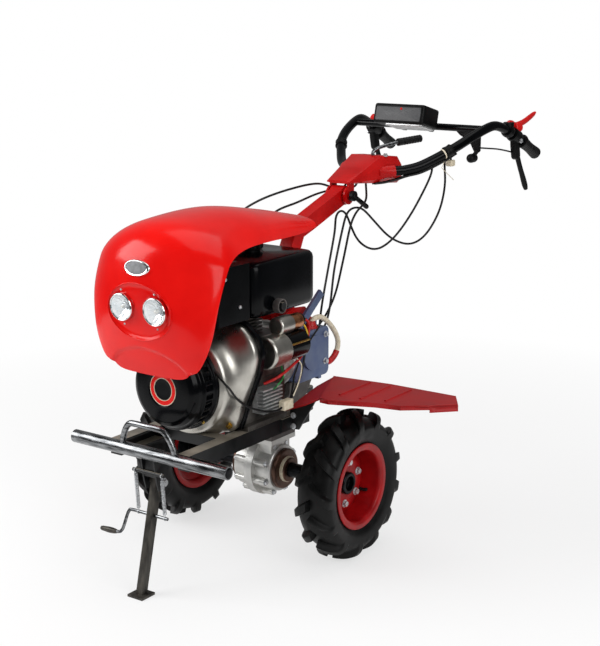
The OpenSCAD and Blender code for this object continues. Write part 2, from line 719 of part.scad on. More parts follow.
module console() machine() color("#cf1a17") {
    hull() for (c = console_rings) {
        box(c[0] - 2, c[0], -c[3], c[3], c[1] + c[4], c[2] - c[5]);
        box(c[0] - 2, c[0], 14 - c[3], c[3] - 14, c[1], c[2]);
    }
    difference() {
        for (y = [-lug_y1, lug_y0]) {
            box(tilt_x - 24, tilt_x + 3, y, y + lug_y1 - lug_y0, tilt_z, 912);
            translate([tilt_x, 0, tilt_z]) along_y(24, y, y + lug_y1 - lug_y0);
        }
        translate([tilt_x, 0, tilt_z]) along_y(pin_r - 1, -60, 60);
    }
    translate([tilt_x, 0, tilt_z]) along_y(pin_r, -lug_y1 - 8, lug_y1 + 8);
    for (side = [-1, 1]) tube(mirror_y([bar_route[0] - bar_aim * 46, bar_route[0] - bar_aim * fit], side),
        bar_r + 4, 18, [0, 0, 1]);
}

bar_route = [[-498, 80, 931], [-509, 90, 932], [-520, 100, 933], [-550, 130, 943], [-599, 165, 968], [-639, 190, 990], [-691, 208, 1013],
    [-755, 221, 1034], [-802, 228, 1041], [-850, 236, 1029], [-897, 242, 1009], [-954, 247, 981],
    [-1016, grip_span / 2, 948]];

bar_aim = unit(bar_route[1] - bar_route[0]);

module bar(side) machine() color("#18181a") tube(smooth(mirror_y(bar_route, side), 2), bar_r, 16, [0, 0, 1]);
module bar_left() bar(1);
module bar_right() bar(-1);

cross_at = bar_route[7];

function slice(p, a, b) = [for (i = [a : b]) p[i]];

// The stretch of bar between two route points, grown by the seat gap
module bar_cut(side, a, b) tube(slice(smooth(mirror_y(bar_route, side), 2), 2 * a, 2 * b), bar_r + fit, 16, [0, 0, 1]);

module crossbar() machine() color("#18181a") difference() {
    translate([cross_at[0], 0, cross_at[2]]) along_y(10, -cross_at[1], cross_at[1]);
    for (side = [-1, 1]) bar_cut(side, 6, 8);
}

// The control box leans back towards the operator about its front top edge
box_edge = [-650, 0, 1104];
box_lean = 14;
box_l = 92;
box_h = 64;

module control_box() machine() color("#151516") difference() {
    translate(box_edge) rotate([0, -box_lean, 0]) {
        round_box(-box_l, 0, -84, 84, -box_h, 0, 10);
        for (y = [-50, 40]) box(-box_l - 42, 1 - box_l, y, y + 10, 6 - box_h, 37 - box_h);
    }
    translate([cross_at[0], 0, cross_at[2]]) along_y(10 + run, -200, 200);
}

grip_a = [-938, 246, 989];
grip_b = [-1024, grip_span / 2 + 1, 944];

module grip(side) machine() color("#111112") {
    a = [grip_a[0], side * grip_a[1], grip_a[2]];
    b = [grip_b[0], side * grip_b[1], grip_b[2]];
    difference() {
        tube([a, a + (b - a) * 0.04, b - (b - a) * 0.04, b], grip_d / 2, 18, [0, 0, 1]);
        bar_cut(side, 10, 12);
        tube([b - (b - a) * 0.2, b - (b - a) * 0.065], bar_r + 2 * fit, 16, [0, 0, 1]);
    }
}
module grip_left() grip(1);
module grip_right() grip(-1);

lever_route = [[-905, 243, 984], [-917, 244, 950], [-935, 245, 915], [-958, 245, 880], [-980, 246, 842]];

module lever(side) machine() color("#161617") {
    difference() {
        tube([[-884, side * 240.5, 1014], [-916, side * 243.5, 1000]], 21, 18, [0, 0, 1]);
        bar_cut(side, 9, 11);
    }
    tube(smooth(mirror_y(lever_route, side), 2), 7.5, 10, [0, 1, 0]);
}
module lever_left() lever(1);
module lever_right() lever(-1);

thumb_route = [[-868, 238, 1047], [-905, 239.5, 1041], [-960, 241, 1049], [-1026, 244, 1065]];
thumb_r = [8, 7, 6, 7];

module throttle_lever() machine() color("#d01217") difference() {
    union() {
        tube([[-858, 236.6, 1026], [-874, 239, 1019]], 20, 18, [0, 0, 1]);
        for (i = [0 : 2]) hull() {
            translate(thumb_route[i]) sphere(r = thumb_r[i], $fn = 16);
            translate(thumb_route[i + 1]) sphere(r = thumb_r[i + 1], $fn = 16);
        }
    }
    bar_cut(1, 8, 11);
}

module gear_lever() machine() color("#161617") tube([[-480, 20, 972.4], [-481, 20.5, 982], [-498, 30, 993], [-560, 60, 1006],
    [-620, 88, 1012]], 7, 12, [0, 0, 1]);

module clamp_lever() machine() color("#1a1a1b") translate([tilt_x, lug_y1 + 8, tilt_z]) {
    along_y(14, 0, 10);
    hull() {
        translate([0, 7, 0]) sphere(r = 6, $fn = 16);
        translate([-52, 14, -34]) sphere(r = 7, $fn = 16);
    }
}

// Cables

cable_r = 3;

arm_top = arm_z + 10;
route_a = [[-580, 152, 940.4], [-580, 152, 926], [-550, 146, 880], [-496, 132, 810], [-440, 112, 752], [-388, 90, 728],
    [-344, 66, 752], [-320, 46, 808], [-306, 33, 842], [-292, 29, 838], [-278, 30, 790], [-240, 34, 690],
    [-208, 35, 590], [gear_x0 - 29, 34, 500],
    [gear_x0 - 29, 34, arm_top + 14], [gear_x0 - 29, 34, arm_top + 0.6]];
route_b = [[-612, 173, 956.8], [-612, 173, 940], [-622, 170, 884], [-610, 160, 812], [-570, 140, 748], [-520, 118, 727],
    [-460, 92, 752], [-410, 66, 806], [-376, 55, 838], [-336, 52, 846], [-306, 50, 836], [-286, 48, 790],
    [-246, 50, 690], [-222, 54, 600], [-206, 52, 552], [-186, 50, 533], [gear_x0 - 0.6, 50, 530]];
route_c = [[-420, 36, 901], [-420, 36, 896], [-418, 38, 890], [-380, 62, 860], [-330, 64, 836], [-304, 62, 800], [-276, 58, 710],
    [-250, 46, 610], [-234, 6, 530], [-204, -30, 494], [gear_x0 - 29, -34, arm_top + 12],
    [gear_x0 - 29, -34, arm_top + 0.6]];
route_d = [[-440, -40, 899], [-438, -40, 886], [-400, -52, 884], [-320, -56, 905], [-197, -62, 902], [-110, tank_y0 - 11, 880],
    [-50, tank_y0 - 39, 846], [0, tank_y0 - 47, 796], [40, tank_y0 - 31, 748], [58, tank_y0 - 19, 714],
    [60, tank_y0 - 10, 706], [60, tank_y0 - 0.6, 706]];
route_e = [[-430, 0, 899], [-428, 0, 888], [-390, -40, 884], [-300, -44, 880], [-200, -40, 868], [-136, -60, 852],
    [-96, -70, 820], [-72, -66, 770], [-64, -48, 730], [tank_x0 - 10, -40, 720],
    [tank_x0 - 0.6, -40, 720]];

module cables_left() machine() color("#131314") {
    tube(smooth(route_a, 2), cable_r, 8, [0, 1, 0]);
    tube(smooth(route_b, 2), cable_r, 8, [0, 1, 0]);
    tube(smooth(route_c, 2), cable_r, 8, [1, 0, 0]);
}

module cables_top() machine() color("#131314") {
    tube(smooth(route_d, 2), cable_r, 8, [0, 1, 1]);
    tube(smooth(route_e, 2), cable_r, 8, [0, 1, 0]);
}

tyre_left();
tyre_right();
rim_left();
rim_right();
axle_left();
axle_right();
axle_drum();
axle_covers();
gearbox_leg();
gearbox_upper();
shift_arms();
clutch_housing();
hitch();
rail_left();
rail_right();
cross_members();
bumper_bar();
bumper_hoop();
stand_bracket();
stand_leg();
stand_crank();
stand_springs();
crankcase();
cylinder_head();
blower_housing();
recoil_starter();
fuel_tank();
tank_cap();
tank_plate();
fuel_tap();
starter_motor();
solenoid();
regulator();
air_cleaner();
silencer();
breather_hose();
bonnet();
lamp_panel();
lamp_left();
lamp_right();
battery_box();
fan_shroud();
guard_left();
guard_right();
gussets();
handle_column();
console();
bar_left();
bar_right();
crossbar();
control_box();
grip_left();
grip_right();
lever_left();
lever_right();
throttle_lever();
gear_lever();
clamp_lever();
cables_left();
cables_top();
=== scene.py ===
"""Walking tractor: finish, fine forms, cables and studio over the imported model.

Lengths are millimetres. x runs forward from the axle line, y to the left and z up from a base line
AXLE_Z under the axle; place() turns them into the frame's metres.
"""
import json
import math
import bmesh
import bpy
import numpy as np
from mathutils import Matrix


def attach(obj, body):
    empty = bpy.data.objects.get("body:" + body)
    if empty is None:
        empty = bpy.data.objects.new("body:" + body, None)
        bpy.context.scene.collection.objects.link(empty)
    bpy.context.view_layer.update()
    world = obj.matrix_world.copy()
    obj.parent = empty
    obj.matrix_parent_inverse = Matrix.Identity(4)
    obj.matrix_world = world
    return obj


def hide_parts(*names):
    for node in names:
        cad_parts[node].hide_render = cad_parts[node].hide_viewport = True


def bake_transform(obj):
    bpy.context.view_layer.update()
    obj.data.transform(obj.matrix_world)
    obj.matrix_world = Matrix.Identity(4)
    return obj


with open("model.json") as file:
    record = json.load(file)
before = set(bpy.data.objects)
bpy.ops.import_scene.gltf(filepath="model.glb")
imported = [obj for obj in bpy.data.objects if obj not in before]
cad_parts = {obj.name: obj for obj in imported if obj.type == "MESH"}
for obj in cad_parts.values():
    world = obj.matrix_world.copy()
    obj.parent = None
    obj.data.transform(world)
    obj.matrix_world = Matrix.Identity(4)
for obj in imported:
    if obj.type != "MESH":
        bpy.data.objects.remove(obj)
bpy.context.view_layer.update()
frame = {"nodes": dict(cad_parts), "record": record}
nodes = frame["nodes"]
record = frame["record"]

AXLE_Z = 205.0
left_axle = np.array(record["behaviour"]["joints"][0]["pos_m"])
ORIGIN = left_axle * (1, 0, 1) - (0, 0, AXLE_Z / 1000)
HALF_TRACK = left_axle[1] * 1000
WHEEL_R = left_axle[2] * 1000


# Shapes

def place(points):
    """Millimetres from the axle's base line to metres in the frame."""
    return ORIGIN + np.asarray(points, float) / 1000


def unit(vectors):
    """Each row divided by its own length."""
    return vectors / np.linalg.norm(vectors, axis=-1, keepdims=True)


def ease(value, low, high):
    """Cubic step: 0 at low, 1 at high and level at both."""
    t = np.clip((value - low) / (high - low), 0, 1)
    return t * t * (3 - 2 * t)


def smooth(points, steps):
    """Catmull-Rom curve through the points with `steps` samples from each point to the next, ends doubled."""
    points = np.asarray(points, float)
    around = np.vstack([points[:1], points, points[-1:]])
    spans = len(points) - 1
    count = np.arange(spans * steps + 1)
    i = np.minimum(count // steps, spans - 1)
    t = ((count - i * steps) / steps)[:, None]
    a, b, c, d = (around[i + k] for k in range(4))
    return b + 0.5 * t * (c - a + t * (2 * a - 5 * b + 4 * c - d + t * (3 * (b - c) + d - a)))


def arc_length(path):
    """Distance along the path from its first point to each point."""
    return np.concatenate([[0], np.cumsum(np.linalg.norm(np.diff(path, axis=0), axis=1))])


def relaxed(path, gap=4.0, rounds=20):
    """The path at even gaps of arc length, smoothed.

    In each round every inner point moves to the mean (before + 2 own + after) / 4.
    """
    length = arc_length(path)
    even = np.linspace(0, length[-1], int(length[-1] / gap) + 1)
    line = np.stack([np.interp(even, length, path[:, k]) for k in range(3)], -1)
    for _ in range(rounds):
        line[1:-1] = (line[:-2] + 2 * line[1:-1] + line[2:]) / 4
    return line


def fillet(points, cut, steps=4, closed=False):
    """Polyline with each corner P swapped for the arc (1-t)^2 A + 2t(1-t) P + t^2 B.

    A and B lie `cut` away on both sides of P, or 0.48 of the shorter side where that is less.
    """
    points = np.asarray(points, float)
    back, on = np.roll(points, 1, 0) - points, np.roll(points, -1, 0) - points
    reach = np.minimum(np.linalg.norm(back, axis=1), np.linalg.norm(on, axis=1)) * 0.48
    reach = np.minimum(reach, cut)[:, None]
    a, b = points + unit(back) * reach, points + unit(on) * reach
    t = np.linspace(0, 1, steps + 1)[None, :, None]
    arcs = (1 - t) ** 2 * a[:, None] + 2 * t * (1 - t) * points[:, None] + t ** 2 * b[:, None]
    if closed:
        return arcs.reshape(-1, points.shape[1])
    return np.vstack([points[:1], arcs[1:-1].reshape(-1, points.shape[1]), points[-1:]])


def quads(ids):
    """Four corners of every cell of a grid of vertex numbers."""
    return np.stack([ids[:-1, :-1], ids[:-1, 1:], ids[1:, 1:], ids[1:, :-1]], -1).reshape(-1, 4)


def outward(shell):
    """The closed shell with its faces turned so that its signed volume is positive."""
    points, faces = shell
    tris = np.vstack([f[:, [0, k, k + 1]] for f in faces for k in range(1, f.shape[1] - 1)])
    a, b, c = points[tris[:, 0]], points[tris[:, 1]], points[tris[:, 2]]
    turned_in = np.sum(a * np.cross(b, c)) < 0
    return points, [f[:, ::-1] for f in faces] if turned_in else faces


def skin(grid, loop=False):
    """Closed tube over grid[ring, spot], whose rings close on themselves.

    The two ends meet (loop), or each gets a fan to its mean.
    """
    n, m = grid.shape[:2]
    ids = np.arange(n * m).reshape(n, m)
    rows = np.vstack([ids, ids[:1]]) if loop else ids
    faces = [quads(np.hstack([rows, rows[:, :1]]))]
    points = grid.reshape(-1, 3)
    if not loop:
        points = np.vstack([points, grid[0].mean(0), grid[-1].mean(0)])
        first, last = ids[0], ids[-1]
        faces.append(np.stack([np.full(m, n * m), np.roll(first, -1), first], -1))
        faces.append(np.stack([np.full(m, n * m + 1), last, np.roll(last, -1)], -1))
    return outward((points, faces))


def walled(outer, inner):
    """Closed sheet: grid `outer`, grid `inner` turned over, and a band that joins their borders."""
    n, m = outer.shape[:2]
    a = np.arange(n * m).reshape(n, m)
    border = np.concatenate([a[0, :-1], a[:-1, -1], a[-1, :0:-1], a[:0:-1, 0]])
    band = np.stack([border, border + n * m, np.roll(border, -1) + n * m, np.roll(border, -1)], -1)
    return outward((np.vstack([outer.reshape(-1, 3), inner.reshape(-1, 3)]),
                    [quads(a), quads(a + n * m)[:, ::-1], band]))


def basis(axis):
    """Two directions square to the axis, and the axis itself, each of length 1."""
    d = unit(np.asarray(axis, float))
    u = unit(np.cross(d, (0, 0, 1) if abs(d[2]) < 0.9 else (1, 0, 0)))
    return u, np.cross(d, u), d


def turned(profile, centre, axis, sides=64, loop=False, swell=None):
    """Profile of (distance along the axis, radius) turned about the axis.

    swell[spot, ring] scales the radius.
    """
    s, r = np.asarray(profile, float).T
    u, v, d = basis(axis)
    phi = np.linspace(0, 2 * np.pi, sides, endpoint=False)
    ring = np.cos(phi)[:, None] * u + np.sin(phi)[:, None] * v
    r = r[:, None] * (1 if swell is None else swell)
    r = np.broadcast_to(r, (len(s), sides))
    return skin(np.asarray(centre, float) + s[:, None, None] * d + r[:, :, None] * ring, loop)


def lathed(profile, cut, centre, axis, sides):
    """Solid turned about the axis from an open profile with its corners rounded by `cut`."""
    return turned(fillet(profile, cut), centre, axis, sides)


def hoop(section, cut, centre, axis, sides):
    """Ring turned about the axis from a closed section with its corners rounded by `cut`."""
    return turned(fillet(section, cut, closed=True), centre, axis, sides, loop=True)


def carried(path, radius, sides=14, ratio=1.0):
    """Circle of `radius` carried along path points, its frames squared to one fixed axis.

    Several radii are spread evenly along the path, and `ratio` flattens the circle.
    """
    tangent = unit(np.gradient(path, axis=0))
    axes = unit(np.array([[1, 0, 0], [0, 1, 0], [0, 0, 1], [1, 1, 0], [0, 1, 1], [1, 0, 1.0]]))
    fixed = axes[np.argmin(np.abs(tangent @ axes.T).max(0))]
    u = unit(np.cross(fixed, tangent))
    v = np.cross(tangent, u)
    phi = np.linspace(0, 2 * np.pi, sides, endpoint=False)[None, :, None]
    radius = np.atleast_1d(np.asarray(radius, float))
    r = np.interp(np.linspace(0, 1, len(path)), np.linspace(0, 1, len(radius)), radius)[:, None, None]
    return skin(path[:, None] + r * (np.cos(phi) * u[:, None] + ratio * np.sin(phi) * v[:, None]))


def tube(points, radius, sides=14, steps=8):
    """Round bar or wire through given points."""
    return carried(smooth(points, steps), radius, sides)


def pressed(outline, low, high, axis="z", cut=6, edge=1.5):
    """Block: closed outline with corners rounded by `cut`, carried from low to high.

    Each end is drawn in by a quarter round of radius `edge`.
    """
    flat = fillet(outline, cut, closed=True)
    along = unit(np.roll(flat, -1, 0) - np.roll(flat, 1, 0))
    area = np.sum(flat[:, 0] * np.roll(flat[:, 1], -1) - np.roll(flat[:, 0], -1) * flat[:, 1])
    out = np.stack([along[:, 1], -along[:, 0]], -1) * np.sign(area)
    a = np.linspace(0, np.pi / 2, 4)
    draw = edge * (1 - np.sin(a))
    rise = edge * (1 - np.cos(a))
    inset = np.concatenate([draw, draw[::-1]])
    level = np.concatenate([low + rise, high - rise[::-1]])
    uv = flat[None] - inset[:, None, None] * out[None]
    w = np.broadcast_to(level[:, None, None], uv.shape[:2] + (1,))
    order = {"z": (0, 1, 2), "y": (0, 2, 1), "x": (2, 0, 1)}[axis]
    return skin(np.concatenate([uv, w], -1)[:, :, list(order)])


def box_outline(low, high):
    """Four corners of a rectangle."""
    return [(low[0], low[1]), (high[0], low[1]), (high[0], high[1]), (low[0], high[1])]


def swung(shell, pivot, axis, degrees):
    """The shell turned about an axis through the pivot: p cos t + (k x p) sin t + k (k.p)(1 - cos t)."""
    points, faces = shell
    k, t = unit(np.asarray(axis, float)), math.radians(degrees)
    p = points - pivot
    p = p * math.cos(t) + np.cross(k, p) * math.sin(t) + np.outer(p @ k, k) * (1 - math.cos(t))
    return p + pivot, faces


def mirrored(shell):
    """The shell on the other side of the middle plane, faces turned back outwards."""
    points, faces = shell
    return points * (1, -1, 1), [f[:, ::-1] for f in faces]


def bolt(centre, axis, across=10.0, height=6.0):
    """Hexagon head on a washer.

    Rings of constant radius make the washer; across/2 over the cosine of the angle to the nearest flat makes
    the head.
    """
    phi = np.linspace(0, 2 * np.pi, 24, endpoint=False)
    hexagon = across / 2 / np.cos((phi + np.pi / 6) % (np.pi / 3) - np.pi / 6)
    disc = np.full(24, across * 0.78)
    rings = np.stack([disc, disc, hexagon, hexagon, np.minimum(hexagon, across * 0.53)])
    levels = np.array([-1.0, 1.3, 1.3, height * 0.8, height])
    return turned(np.stack([levels, np.ones(5)], -1), centre, axis, 24, swell=rings)


def screw(centre, axis, across=9.0):
    """Domed screw head with a hollow drive."""
    r = across / 2
    return turned([(-1, r), (r * 0.35, r), (r * 0.7, r * 0.8), (r * 0.85, r * 0.5), (r * 0.4, r * 0.42)],
                  centre, axis, 20)


# Pieces


def piece(name, body, material, shells, hides=(), crease=38):
    """One mesh object from closed shells, smooth but for edges sharper than `crease`, riding on a body."""
    mesh = bpy.data.meshes.new(name)
    starts = np.cumsum([0] + [len(points) for points, _ in shells])
    faces = [row for start, (_, parts) in zip(starts, shells) for f in parts for row in (f + start).tolist()]
    mesh.from_pydata(place(np.vstack([points for points, _ in shells])).tolist(), [], faces)
    return dressed(name, mesh, body, material, hides, crease)


def dressed(name, mesh, body, material, hides=(), crease=38):
    """Object of a finished mesh: smooth shading, sharp edges, material, slot and body."""
    mesh.polygons.foreach_set("use_smooth", np.ones(len(mesh.polygons), bool))
    mesh.set_sharp_from_angle(angle=math.radians(crease))
    mesh.materials.clear()
    mesh.materials.append(material)
    obj = bpy.data.objects.new(name, mesh)
    bpy.context.scene.collection.objects.link(obj)
    if body:
        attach(obj, body)
    if hides:
        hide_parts(*hides)
    return obj


def wire(name, body, material, points, radius, sides=10):
    """Piece of one wire or lead through given points."""
    return piece(name, body, material, [tube(points, radius, sides)], crease=60)


body_of_node = {node: body for body, members in record["behaviour"]["bodies"].items() for node in members}


def softened(node, material, width=1.2, crease=35):
    """The node's own form with every sharp edge broken by a small round.

    Its vertices are joined and its flat faces merged first.
    """
    shape = bmesh.new()
    shape.from_mesh(nodes[node].data)
    bmesh.ops.remove_doubles(shape, verts=shape.verts, dist=2e-6)
    bmesh.ops.dissolve_limit(shape, angle_limit=math.radians(0.6), verts=shape.verts, edges=shape.edges)
    mesh = bpy.data.meshes.new(node + ".soft")
    shape.to_mesh(mesh)
    shape.free()
    obj = dressed(node + ".soft", mesh, body_of_node[node], material, (node,), crease)
    round_edge = obj.modifiers.new("broken edges", "BEVEL")
    round_edge.width = width / 1000
    round_edge.segments = 2
    round_edge.limit_method = "ANGLE"
    round_edge.angle_limit = math.radians(32)
    round_edge.harden_normals = True
    return obj


# Finishes

def lin(code, alpha=1.0):
    """sRGB hex code to linear colour."""
    c = np.array([int(code[i:i + 2], 16) for i in (1, 3, 5)]) / 255
    c = np.where(c <= 0.04045, c / 12.92, ((c + 0.055) / 1.055) ** 2.4)
    return (*map(float, c), alpha)


def add(tree, kind, inputs=None, **settings):
    """A shader node with its settings; each input is a value, or an output to link."""
    node = tree.nodes.new("ShaderNode" + kind)
    for key, value in settings.items():
        setattr(node, key, value)
    for key, value in (inputs or {}).items():
        if isinstance(value, bpy.types.NodeSocket):
            tree.links.new(value, node.inputs[key])
        else:
            node.inputs[key].default_value = value
    return node


def coat(name, slot, colours, rough, patch=60.0, grain=2.0, depth=0.1, spread=(0.35, 0.65),
         stretch=(1, 1, 1), dust_and_sheen=None, **sockets):
    """Material of one Principled shader over noise in the piece's own coordinates.

    Spots `patch` millimetres wide run the colour between two hex colours and the roughness between two
    values; spots `grain` millimetres wide raise the surface by `depth`. `stretch` draws both out along the
    axes, and `dust_and_sheen` is a pale colour laid in patches on faces that look up, partly dust and
    partly a painted sheen of the light from above. Grain that is too fine to show in the
    render is drawn a millimetre or more wide.
    """
    material = bpy.data.materials.new(name)
    material.use_nodes = True
    tree = material.node_tree
    shader = tree.nodes["Principled BSDF"]
    for key, value in sockets.items():
        shader.inputs[key.replace("_", " ")].default_value = value
    own = add(tree, "TexCoord")
    broad = add(tree, "Mapping", {"Vector": own.outputs["Object"],
                                  "Scale": tuple(1000 / (patch * k) for k in stretch)})
    patches = add(tree, "TexNoise", {"Vector": broad.outputs[0], "Scale": 1.0, "Detail": 4.0})
    ramp = add(tree, "ValToRGB", {"Fac": patches.outputs["Fac"]})
    for stop, where, code in zip(ramp.color_ramp.elements, spread, colours):
        stop.position, stop.color = where, lin(code)
    colour = ramp.outputs["Color"]
    if dust_and_sheen:
        # Pale colour on faces that look up, in patches: partly dust, partly a painted sheen of the light from
        # above. The worn factor below is this dust and sheen mask.
        facing = add(tree, "SeparateXYZ", {0: add(tree, "NewGeometry").outputs["Normal"]})
        faces_up = add(tree, "MapRange", {"Value": facing.outputs["Z"], "From Min": 0.8, "From Max": 0.98,
                                         "To Max": 1.0})
        worn = add(tree, "Math", {0: faces_up.outputs[0], 1: patches.outputs["Fac"]}, operation="MULTIPLY")
        colour = add(tree, "MixRGB", {"Fac": worn.outputs[0], "Color1": colour,
                                      "Color2": lin(dust_and_sheen)}).outputs[0]
    gloss = add(tree, "MapRange", {"Value": patches.outputs["Fac"], "From Min": 0.3, "From Max": 0.7,
                                   "To Min": rough[0], "To Max": rough[1]})
    close = add(tree, "Mapping", {"Vector": own.outputs["Object"],
                                  "Scale": tuple(1000 / (grain * k) for k in stretch)})
    grains = add(tree, "TexNoise", {"Vector": close.outputs[0], "Scale": 1.0, "Detail": 2.0})
    bump = add(tree, "Bump", {"Height": grains.outputs["Fac"], "Strength": 0.4, "Distance": depth / 1000})
    tree.links.new(colour, shader.inputs["Base Color"])
    tree.links.new(gloss.outputs[0], shader.inputs["Roughness"])
    tree.links.new(bump.outputs[0], shader.inputs["Normal"])
    return material


def bonnet_enamel():
    """Bonnet: deep red under a clear gloss, the liveliest coat on the machine, with faint orange peel."""
    return coat("stoved enamel red", "bonnet_red", ("#D80604", "#EA0E07"), (0.16, 0.24), 160, 5.0, 0.03,
                Specular_IOR_Level=0.2, Coat_Weight=0.1, Coat_Roughness=0.06)


def handle_enamel():
    """Column and console: the same red, a little flatter over folded plate."""
    return coat("stoved enamel red on plate", "handle_paint", ("#A80809", "#C20F0E"), (0.26, 0.38),
                90, 4.0, 0.05, Specular_IOR_Level=0.2)


def rim_enamel():
    """Rims: darker red, gloss broken where it was sprayed thin."""
    return coat("sprayed enamel rim red", "rim_paint", ("#86060B", "#A60C10"), (0.28, 0.42), 50, 4.0, 0.06,
                Specular_IOR_Level=0.3)


def guard_enamel():
    """Guards: red primer under a thin satin coat, dusty in wide patches."""
    return coat("satin enamel guard red", "guard_paint", ("#9A1517", "#B02022"), (0.4, 0.54), 120, 3.0, 0.08,
                Specular_IOR_Level=0.25)


def lever_plastic():
    """Throttle lever: red nylon, even and slightly waxy."""
    return coat("moulded nylon red", "lever_red", ("#C40E0C", "#D81610"), (0.3, 0.42), 20, 1.5, 0.05,
                Specular_IOR_Level=0.3)


def black_enamel():
    """Tank and tubes: black gloss with a cold edge, which mirrors the studio in narrow lines."""
    return coat("stoved enamel black", "black_gloss", ("#030405", "#07080B"), (0.14, 0.24), 120, 5.0, 0.03,
                Specular_IOR_Level=0.14)


def frame_enamel():
    """Rails and brackets: charcoal semi-gloss, fine dry-spray grain, and on the upper faces a pale colour
    that is partly dust and partly a painted sheen of the light from above.
    """
    # The pale colour on the upper faces is partly dust and partly painted sheen.
    return coat("semi-gloss charcoal paint", "frame_paint", ("#0B0C0D", "#18191A"), (0.3, 0.44), 50, 2.2, 0.1,
                dust_and_sheen="#B5AB9B", Specular_IOR_Level=0.4)


def moulded_plastic():
    """Black polypropylene: spark-eroded grain that greys where light grazes it."""
    return coat("moulded polypropylene black", "black_plastic", ("#050606", "#0C0D0E"), (0.36, 0.5),
                40, 1.6, 0.12, Specular_IOR_Level=0.18)


def tyre_rubber():
    """Vulcanised rubber: nearly matt black, mould grain, pale dust in patches."""
    return coat("vulcanised tyre rubber", "tyre", ("#040404", "#101111"), (0.36, 0.55), 30, 2.0, 0.3,
                (0.35, 0.85), Specular_IOR_Level=0.22)


def grip_rubber():
    """Soft PVC grip: black, finely pebbled, low gloss."""
    return coat("soft pvc grip", "grip_rubber", ("#080809", "#111213"), (0.4, 0.56), 16, 1.2, 0.15,
                Specular_IOR_Level=0.35)


def cable_pvc():
    """Extruded PVC sheath: black with a long narrow shine."""
    return coat("extruded pvc sheath", "grip_rubber", ("#060606", "#0E0E0F"), (0.28, 0.42), 25, 3.0, 0.03,
                Specular_IOR_Level=0.35)


def wire_pvc(name, slot, dark, light):
    """Thin coloured wire or moulded connector: plain PVC, slightly uneven."""
    return coat(name, slot, (dark, light), (0.34, 0.5), 10, 1.0, 0.04, Specular_IOR_Level=0.4)


def cast_alloy():
    """Die-cast aluminium: pale and softly pebbled by the die."""
    return coat("die-cast aluminium", "alloy", ("#BEBEBB", "#DBDAD6"), (0.34, 0.46), 45, 1.8, 0.16,
                Metallic=0.65)


def rolled_alloy():
    """Fan casing: brushed aluminium with a cream cast and wide soft reflections that waver.

    The brushing is too fine to show, so its unevenness is drawn 16 mm wide.
    """
    return coat("brushed aluminium", "alloy", ("#B5B2AA", "#D3D0C8"), (0.26, 0.4), 55, 16.0, 0.3,
                Metallic=1.0)


def shaded_alloy():
    """Crankcase and head: the same casting, its colour darkened as painted shade for the shadow among the
    parts around it, bright only on its edges.
    """
    # The dark colours are painted shade laid over the whole casting.
    return coat("aluminium darkened as painted shade", "alloy", ("#3C3936", "#75716C"), (0.36, 0.54), 34, 1.8, 0.2,
                (0.3, 0.7), Metallic=0.8)


def blue_alloy():
    """Upper gear case: aluminium under a thin blue-grey lacquer."""
    return coat("lacquered aluminium blue-grey", "alloy_blue", ("#5E6D94", "#74829F"), (0.36, 0.46),
                45, 1.6, 0.12, Metallic=0.7)


def cast_iron():
    """Sand-cast iron, primed grey-brown: coarse grain and a dull shine."""
    return coat("sand-cast iron primed", "iron", ("#4B4745", "#6C6764"), (0.42, 0.6), 26, 2.4, 0.35,
                Metallic=0.4)


def worn_steel():
    """Stand: grey primer rubbed down to the steel in streaks."""
    return coat("worn primer on steel", "frame_paint", ("#24221F", "#5A564F"), (0.34, 0.52), 16, 2.0, 0.12,
                (0.3, 0.75), (1, 1, 3), Metallic=0.5)


def brown_iron():
    """Turned iron covers with a thin brown film of oxide and oil."""
    return coat("oxidised iron brown", "iron", ("#46332B", "#6E5346"), (0.34, 0.5), 24, 1.2, 0.1,
                Metallic=0.8)


def drawn_steel():
    """Bumper and rods: bright drawn steel, dark streaks along the tube and sharp reflections between."""
    return coat("drawn steel tube", "bare_steel", ("#2E2F31", "#97999B"), (0.16, 0.34), 7, 4.0, 0.08,
                (0.3, 0.62), (1, 7, 1), Metallic=1.0)


def zinc():
    """Bright zinc plating: pale bluish grey, crystals a few millimetres wide."""
    return coat("bright zinc plate", "bare_steel", ("#B4B7BA", "#E0E2E4"), (0.24, 0.4), 5, 1.0, 0.05,
                Metallic=0.7)


def yellow_zinc():
    """Yellow-passivated screws: gold in uneven patches."""
    return coat("yellow passivated zinc", "bare_steel", ("#9C7630", "#D6B45C"), (0.22, 0.36), 4, 1.0, 0.05,
                Metallic=1.0)


def axle_steel():
    """Blackened axle steel with an oily shine."""
    return coat("oil-blackened steel", "axle_steel", ("#101113", "#26282B"), (0.28, 0.42), 20, 1.4, 0.08,
                Metallic=0.9)


def chrome():
    """Aluminised reflector and bezel: mirror bright."""
    return coat("vacuum-aluminised reflector", "lamp_chrome", ("#DFE1E2", "#F4F5F5"), (0.06, 0.12),
                30, 6.0, 0.02, Metallic=1.0)


def copper():
    """Copper-plated relay case, warm and satin."""
    return coat("copper plate", "copper_plate", ("#9C5F38", "#CE9064"), (0.24, 0.38), 12, 1.2, 0.06,
                Metallic=1.0)


def finned_alloy():
    """Extruded aluminium of the charge regulator and plates, with bright fin tips."""
    return coat("extruded aluminium", "fin_alloy", ("#A7A8A8", "#D0D1D1"), (0.3, 0.44), 14, 1.0, 0.06,
                Metallic=0.65)


def exhaust_steel():
    """Silencer: aluminised sheet, tanned by heat in broad patches."""
    return coat("heat-tinted aluminised sheet", "exhaust_steel", ("#45413F", "#746E68"), (0.38, 0.56),
                55, 1.8, 0.14, Metallic=0.9)


def lens_plastic():
    """Clear polycarbonate lens: colourless, hard gloss, faint flow lines."""
    return coat("clear polycarbonate", "lamp_chrome", ("#F4F8FA", "#FFFFFF"), (0.0, 0.04), 14, 5.0, 0.03,
                Transmission_Weight=1.0, IOR=1.25)


def lamp_quartz():
    """Halogen bulb, frosted white quartz."""
    return coat("frosted quartz", "lamp_chrome", ("#E9E6DC", "#FFFFFF"), (0.2, 0.35), 5, 1.0, 0.02)


